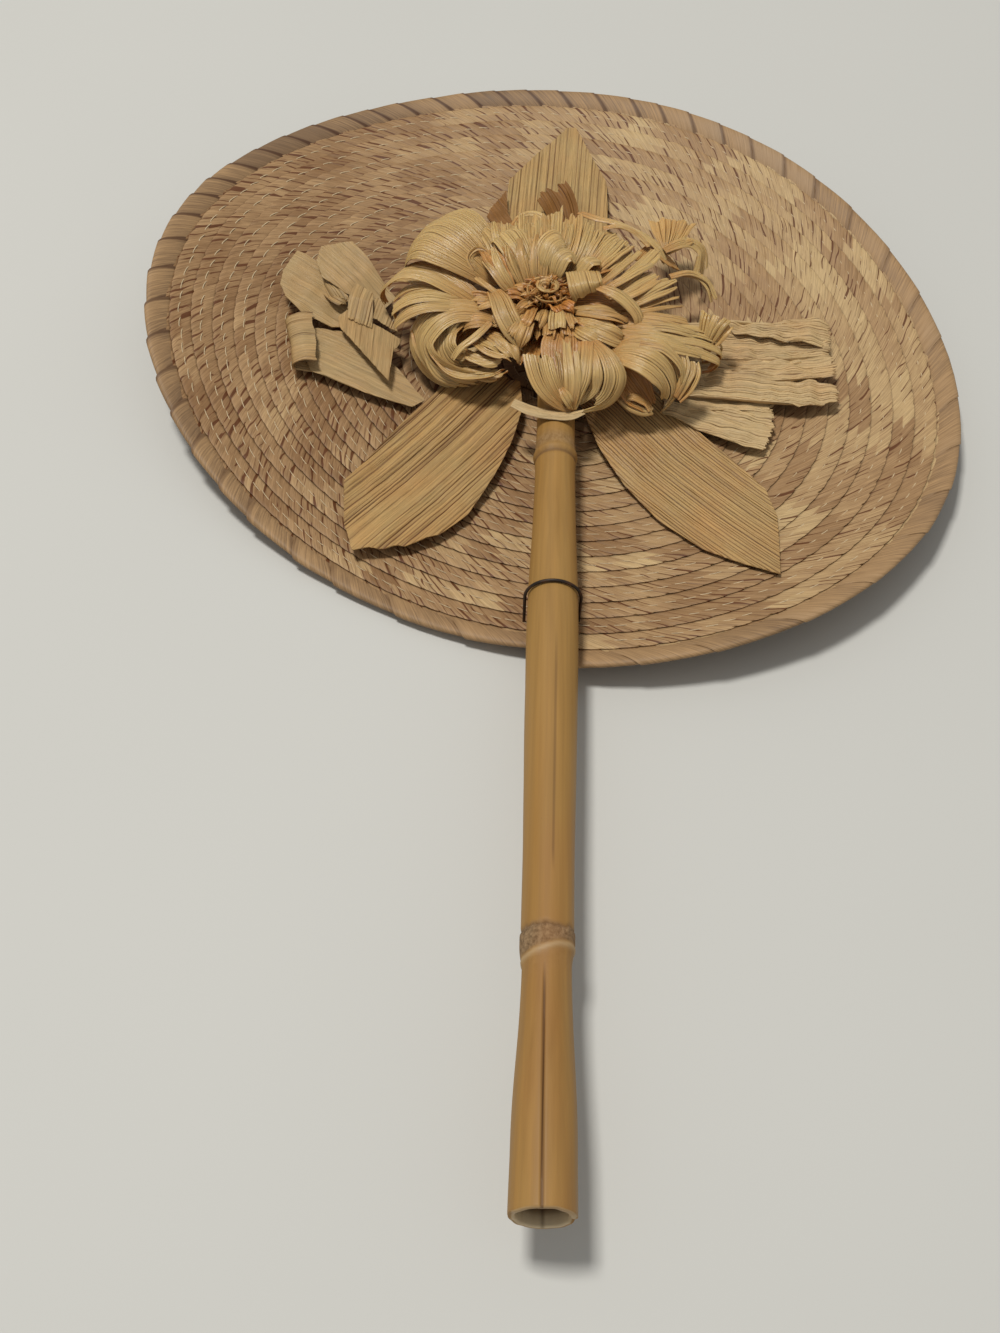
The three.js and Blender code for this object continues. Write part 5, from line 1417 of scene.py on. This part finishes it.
class FAN_OT_flower(bpy.types.Operator):
    """Fold the husk petals round the shredded heart of the flower"""

    bl_idname = "fan.flower"
    bl_label = "Flower"

    def execute(self, context):
        settings = context.scene.fan_husk
        petal = husk_finish(
            "husk_petal", settings.petal, settings, gloss=0.3, glow=0.3, stain=0.5, faint=0.45)
        made = laid(STRIPS, STRIP_SEED)
        self.fill(made)
        for node, bands in made.items():
            husk_piece(bands, node.title() + "_husk", settings, petal, "husk_petal", node, 0.8)
        self.heart(settings, petal)
        self.twine(context)
        return {"FINISHED"}

    def fill(self, made):
        """Tongues of husk that stand round the heart, and looser strips under the large petals."""
        random = np.random.default_rng(12)
        rings = [  # strips, foot, reach, width, top, how orange
            (12, 33.0, (5.5, 9.0), (2.0, 4.0), (36.0, 39.0), (0.4, 0.75)),
            (14, 31.0, (9.5, 14.0), (3.0, 6.0), (33.5, 38.0), (0.4, 0.85)),
            (18, 28.0, (15.0, 23.0), (4.0, 7.0), (30.0, 35.5), (0.35, 0.8)),
            (30, 24.0, (24.0, 36.0), (5.0, 9.0), (23.0, 30.0), (0.4, 0.8)),
        ]
        inner = ["inner_petal_%d" % number for number in range(1, 9)]
        outer = ["petal_right", "petal_upper_right", "petal_top_right", "petal_top", "petal_upper_left",
                 "petal_left", "petal_lower_left", "petal_lower", "petal_lower_right"]
        seed = FILL_SEED
        for ring, (count, foot, reach, width, top, tint) in enumerate(rings, 1):
            nodes = outer if ring == len(rings) else inner
            for i in range(count):
                turn = (i + random.uniform(-0.2, 1.2)) % count * TAU / count
                aim = heading(turn + random.uniform(-0.35, 0.35))
                bow = np.array([-aim[1], aim[0]]) * random.uniform(-2.5, 2.5)
                far, wide, tall = random.uniform(*reach), random.uniform(*width), random.uniform(*top)
                curl = random.uniform(0.2, 1.0)
                rows = [(*(FLOWER + aim * far * 0.3), foot, wide * 0.6),
                        (*(FLOWER + aim * far * 0.5 + bow * 0.3), foot + (tall - foot) * 0.55, wide * 0.9),
                        (*(FLOWER + aim * far * 0.8 + bow * 0.7), tall, wide),
                        (*(FLOWER + aim * (far + 1.5) + bow), tall - 1.2 * curl, wide * 0.85),
                        (*(FLOWER + aim * (far + 3.0 - 1.5 * curl) + bow), tall - 4.5 * curl, wide * 0.3)]
                node = nodes[int(turn / TAU * len(nodes) + 0.5) % len(nodes)]
                made[node].extend(husk_strip(
                    "filler", rows, seed, cup=random.uniform(-0.4, 0.8), rag=0.35, steps=20,
                    roll=(random.uniform(-20, 20), random.uniform(-40, 40)), crinkle=0.9, split=0.3,
                    shreds=int(random.integers(1, 3)), spread=8, tint=random.uniform(*tint)))
                seed += 1

    def heart(self, settings, petal):
        """Curled shreds at the middle, and the gathered stems under them."""
        random = np.random.default_rng(23)
        bands = []
        shreds, golden = 40, 2.39996
        for i in range(shreds):
            aim = heading(i * golden + random.uniform(-0.4, 0.4))
            reach = 6.5 * math.sqrt((i + 0.5) / shreds)
            foot = FLOWER + aim * reach * 0.8
            tip = FLOWER + aim * (reach + random.uniform(0.5, 3.5)) + random.uniform(-2.5, 2.5, 2)
            tall = random.uniform(36.5, 40.5)
            bow = (foot + tip) / 2 + random.uniform(-1.8, 1.8, 2)
            rows = [(*foot, 33, 1.8), (*foot, 36, 2.0), (*bow, tall, 1.6),
                    (*tip, tall - random.uniform(0, 3.0), 0.9)]
            bands += husk_strip("shred", rows, SHRED_SEED + i, steps=12, crinkle=0.3,
                                roll=(0, random.uniform(-80, 80)), tint=random.uniform(0.25, 0.65))
        curls = [  # reach, turn, sweep and height
            (2.0, 0.4, 5.2, 41.4), (3.4, 2.6, 4.4, 41.0), (4.8, 4.6, 3.6, 40.2), (6.0, 1.2, 3.0, 39.6),
            (6.8, 3.4, 2.6, 39.2)]
        for i, (reach, start, sweep, tall) in enumerate(curls):
            rows = []
            for part in np.linspace(0, 1, 6):
                place = FLOWER + reach * (0.75 + 0.5 * part) * heading(start + sweep * part)
                rows.append((*place, tall - 2.0 * part, 2.2))
            bands += husk_strip("curl", rows, CURL_SEED + i, cup=0.2, steps=22, crinkle=0.3, roll=(50, 80),
                                tint=0.15)
        stems = 12
        for i in range(stems):
            aim = heading((i + 0.5) * TAU / stems)
            rows = [(*(FLOWER + aim * reach), height, width) for reach, height, width in (
                (6.0, FLOWER_FOOT, 5), (5.6, 26, 4.4), (7.5, 30, 6), (11, 32, 6))]
            bands += husk_strip("stem", rows, STEM_SEED + i, steps=12, tint=0.5)
        husk_piece(bands, "Flower_heart", settings, petal, "husk_petal", "flower_core", 0.3)

    def twine(self, context):
        """Two and a half turns of twine round the stems."""
        turns, reach = np.linspace(0, 2.5 * TAU, 90), 7.8
        path = np.stack([FLOWER[0] + reach * np.cos(turns), FLOWER[1] + reach * np.sin(turns),
                         FLOWER_FOOT + 1.6 * turns / TAU], axis=1)
        twine = tube("Flower_twine", path, 0.5)
        smooth(twine, 60)
        fit(twine, thread_finish("twine", context.scene.fan_plate), "thread", "flower_thread")


class FAN_OT_leaves(bpy.types.Operator):
    """Lay the three leaves on the plate"""

    bl_idname = "fan.leaves"
    bl_label = "Leaves"

    def execute(self, context):
        settings = context.scene.fan_husk
        finish = husk_finish(
            "husk_leaf", settings.leaf, settings, roots=0.06, gloss=0.5, stain=0.3, faint=1.0)
        for seed, (node, outline, ends, lift, shape) in enumerate(LEAVES, LEAF_SEED):
            leaf = husk_cut(node, outline, ends, lift, settings, seed, **shape)
            husk_piece([leaf], node.title() + "_husk", settings, finish, "husk_leaf", node, 0.1)
        return {"FINISHED"}


class FAN_OT_bands(bpy.types.Operator):
    """Spread the free ends of the husk bands on both sides of the flower"""

    bl_idname = "fan.bands"
    bl_label = "Husk bands"

    def execute(self, context):
        settings = context.scene.fan_husk
        grey = husk_finish("husk_band", settings.ribbon, settings, gloss=0.5, stain=0.0, faint=0.5)
        pale = husk_finish(
            "husk_pale_band", settings.pale, settings, gloss=0.5, stain=0.0, faint=0.5, crimp=0.6)
        brown = husk_finish("husk_bract", settings.bract, settings, gloss=0.6, stain=0.0)
        made = laid(FREE_BANDS, FREE_SEED)
        for seed, (node, outline, ends, lift, shape) in enumerate(CUT_BANDS, CUT_SEED):
            band = husk_cut(node, outline, ends, lift, settings, seed, **shape)
            made.setdefault(node, []).append(band)
        for node, bands in made.items():
            if node == "brown_bract":
                husk_piece(bands, "Brown_bract_husk", settings, brown, "brown_husk", node, 0.0)
            else:
                # bands right of the flower take the lighter copy of the band colour: partly paler husk, partly
                # painted light
                finish = grey if node.startswith("left") else pale
                husk_piece(bands, node.title() + "_husk", settings, finish, "husk_ribbon", node, 0.05)
        return {"FINISHED"}


class FAN_OT_stage(bpy.types.Operator):
    """Set the floor, the soft light and the camera"""

    bl_idname = "fan.stage"
    bl_label = "Stage"

    def execute(self, context):
        settings = context.scene.fan_stage
        deselect()
        bpy.ops.mesh.primitive_plane_add(size=6)
        floor = named("Floor")
        paint = Finish("pale_floor", 0.7)
        cloud = paint.noise((3, 3, 3), "Object", 2.0)
        floor.data.materials.append(paint.done(
            paint.mix(0.5, linear(settings.floor), paint.grey(cloud, 0.3, 0.7, 0.97, 1.03), "MULTIPLY")))
        world = bpy.data.worlds.new("Soft_light")
        context.scene.world = world
        world.use_nodes = True
        sky = world.node_tree.nodes["Background"]
        sky.inputs["Color"].default_value = (1.0, 1.0, 0.99, 1)
        sky.inputs["Strength"].default_value = settings.sky
        bpy.ops.object.light_add(type="AREA", location=LAMP_AT)
        lamp = bpy.context.object
        lamp.name = "Soft_lamp"
        lamp.data.energy = settings.lamp
        lamp.data.size = 0.5
        lamp.data.color = (1.0, 0.985, 0.955)
        aim = Vector(LAMP_AIM) - lamp.location
        lamp.rotation_euler = aim.to_track_quat("-Z", "Y").to_euler()
        pitch, yaw, roll = (math.radians(v) for v in CAMERA_TURN)
        ahead = Vector((math.sin(yaw) * math.cos(pitch), math.cos(yaw) * math.cos(pitch), -math.sin(pitch)))
        right = ahead.cross(Vector((0, 0, 1))).normalized()
        up = right.cross(ahead)
        side = math.cos(roll) * right + math.sin(roll) * up
        top = math.cos(roll) * up - math.sin(roll) * right
        bpy.ops.object.camera_add()
        camera = bpy.context.object
        camera.name = "Camera"
        turn = Matrix((side, top, -ahead)).transposed().to_4x4()
        camera.matrix_world = Matrix.Translation(Vector(CAMERA_AT)) @ turn
        camera.data.lens = CAMERA_LENS
        camera.data.sensor_width = 36
        camera.data.clip_start = 0.01
        context.scene.camera = camera
        context.scene.view_settings.view_transform = "Standard"
        return {"FINISHED"}


class FAN_PT_panel(bpy.types.Panel):
    """Lists the fan's pieces in the order they are made"""

    bl_idname = "FAN_PT_panel"
    bl_label = "Palm leaf fan"
    bl_space_type = "VIEW_3D"
    bl_region_type = "UI"
    bl_category = "Fan"

    def draw(self, context):
        for operator in OPERATORS:
            self.layout.operator(operator.bl_idname)


OPERATORS = (FAN_OT_stage, FAN_OT_woven_plate, FAN_OT_rim_wrap, FAN_OT_bamboo_stick, FAN_OT_wire_ties,
             FAN_OT_flower, FAN_OT_leaves, FAN_OT_bands)
SETTINGS = {"fan_plate": PlateSettings, "fan_stick": StickSettings, "fan_husk": HuskSettings,
            "fan_stage": StageSettings}
CLASSES = (*SETTINGS.values(), *OPERATORS, FAN_PT_panel)


def register():
    for each in CLASSES:
        bpy.utils.register_class(each)
    for name, group in SETTINGS.items():
        setattr(bpy.types.Scene, name, bpy.props.PointerProperty(type=group))


def unregister():
    for name in SETTINGS:
        delattr(bpy.types.Scene, name)
    for each in reversed(CLASSES):
        bpy.utils.unregister_class(each)


def main():
    register()
    for operator in OPERATORS:
        group, name = operator.bl_idname.split(".")
        getattr(getattr(bpy.ops, group), name)()
    deselect()


if __name__ == "__main__":
    main()
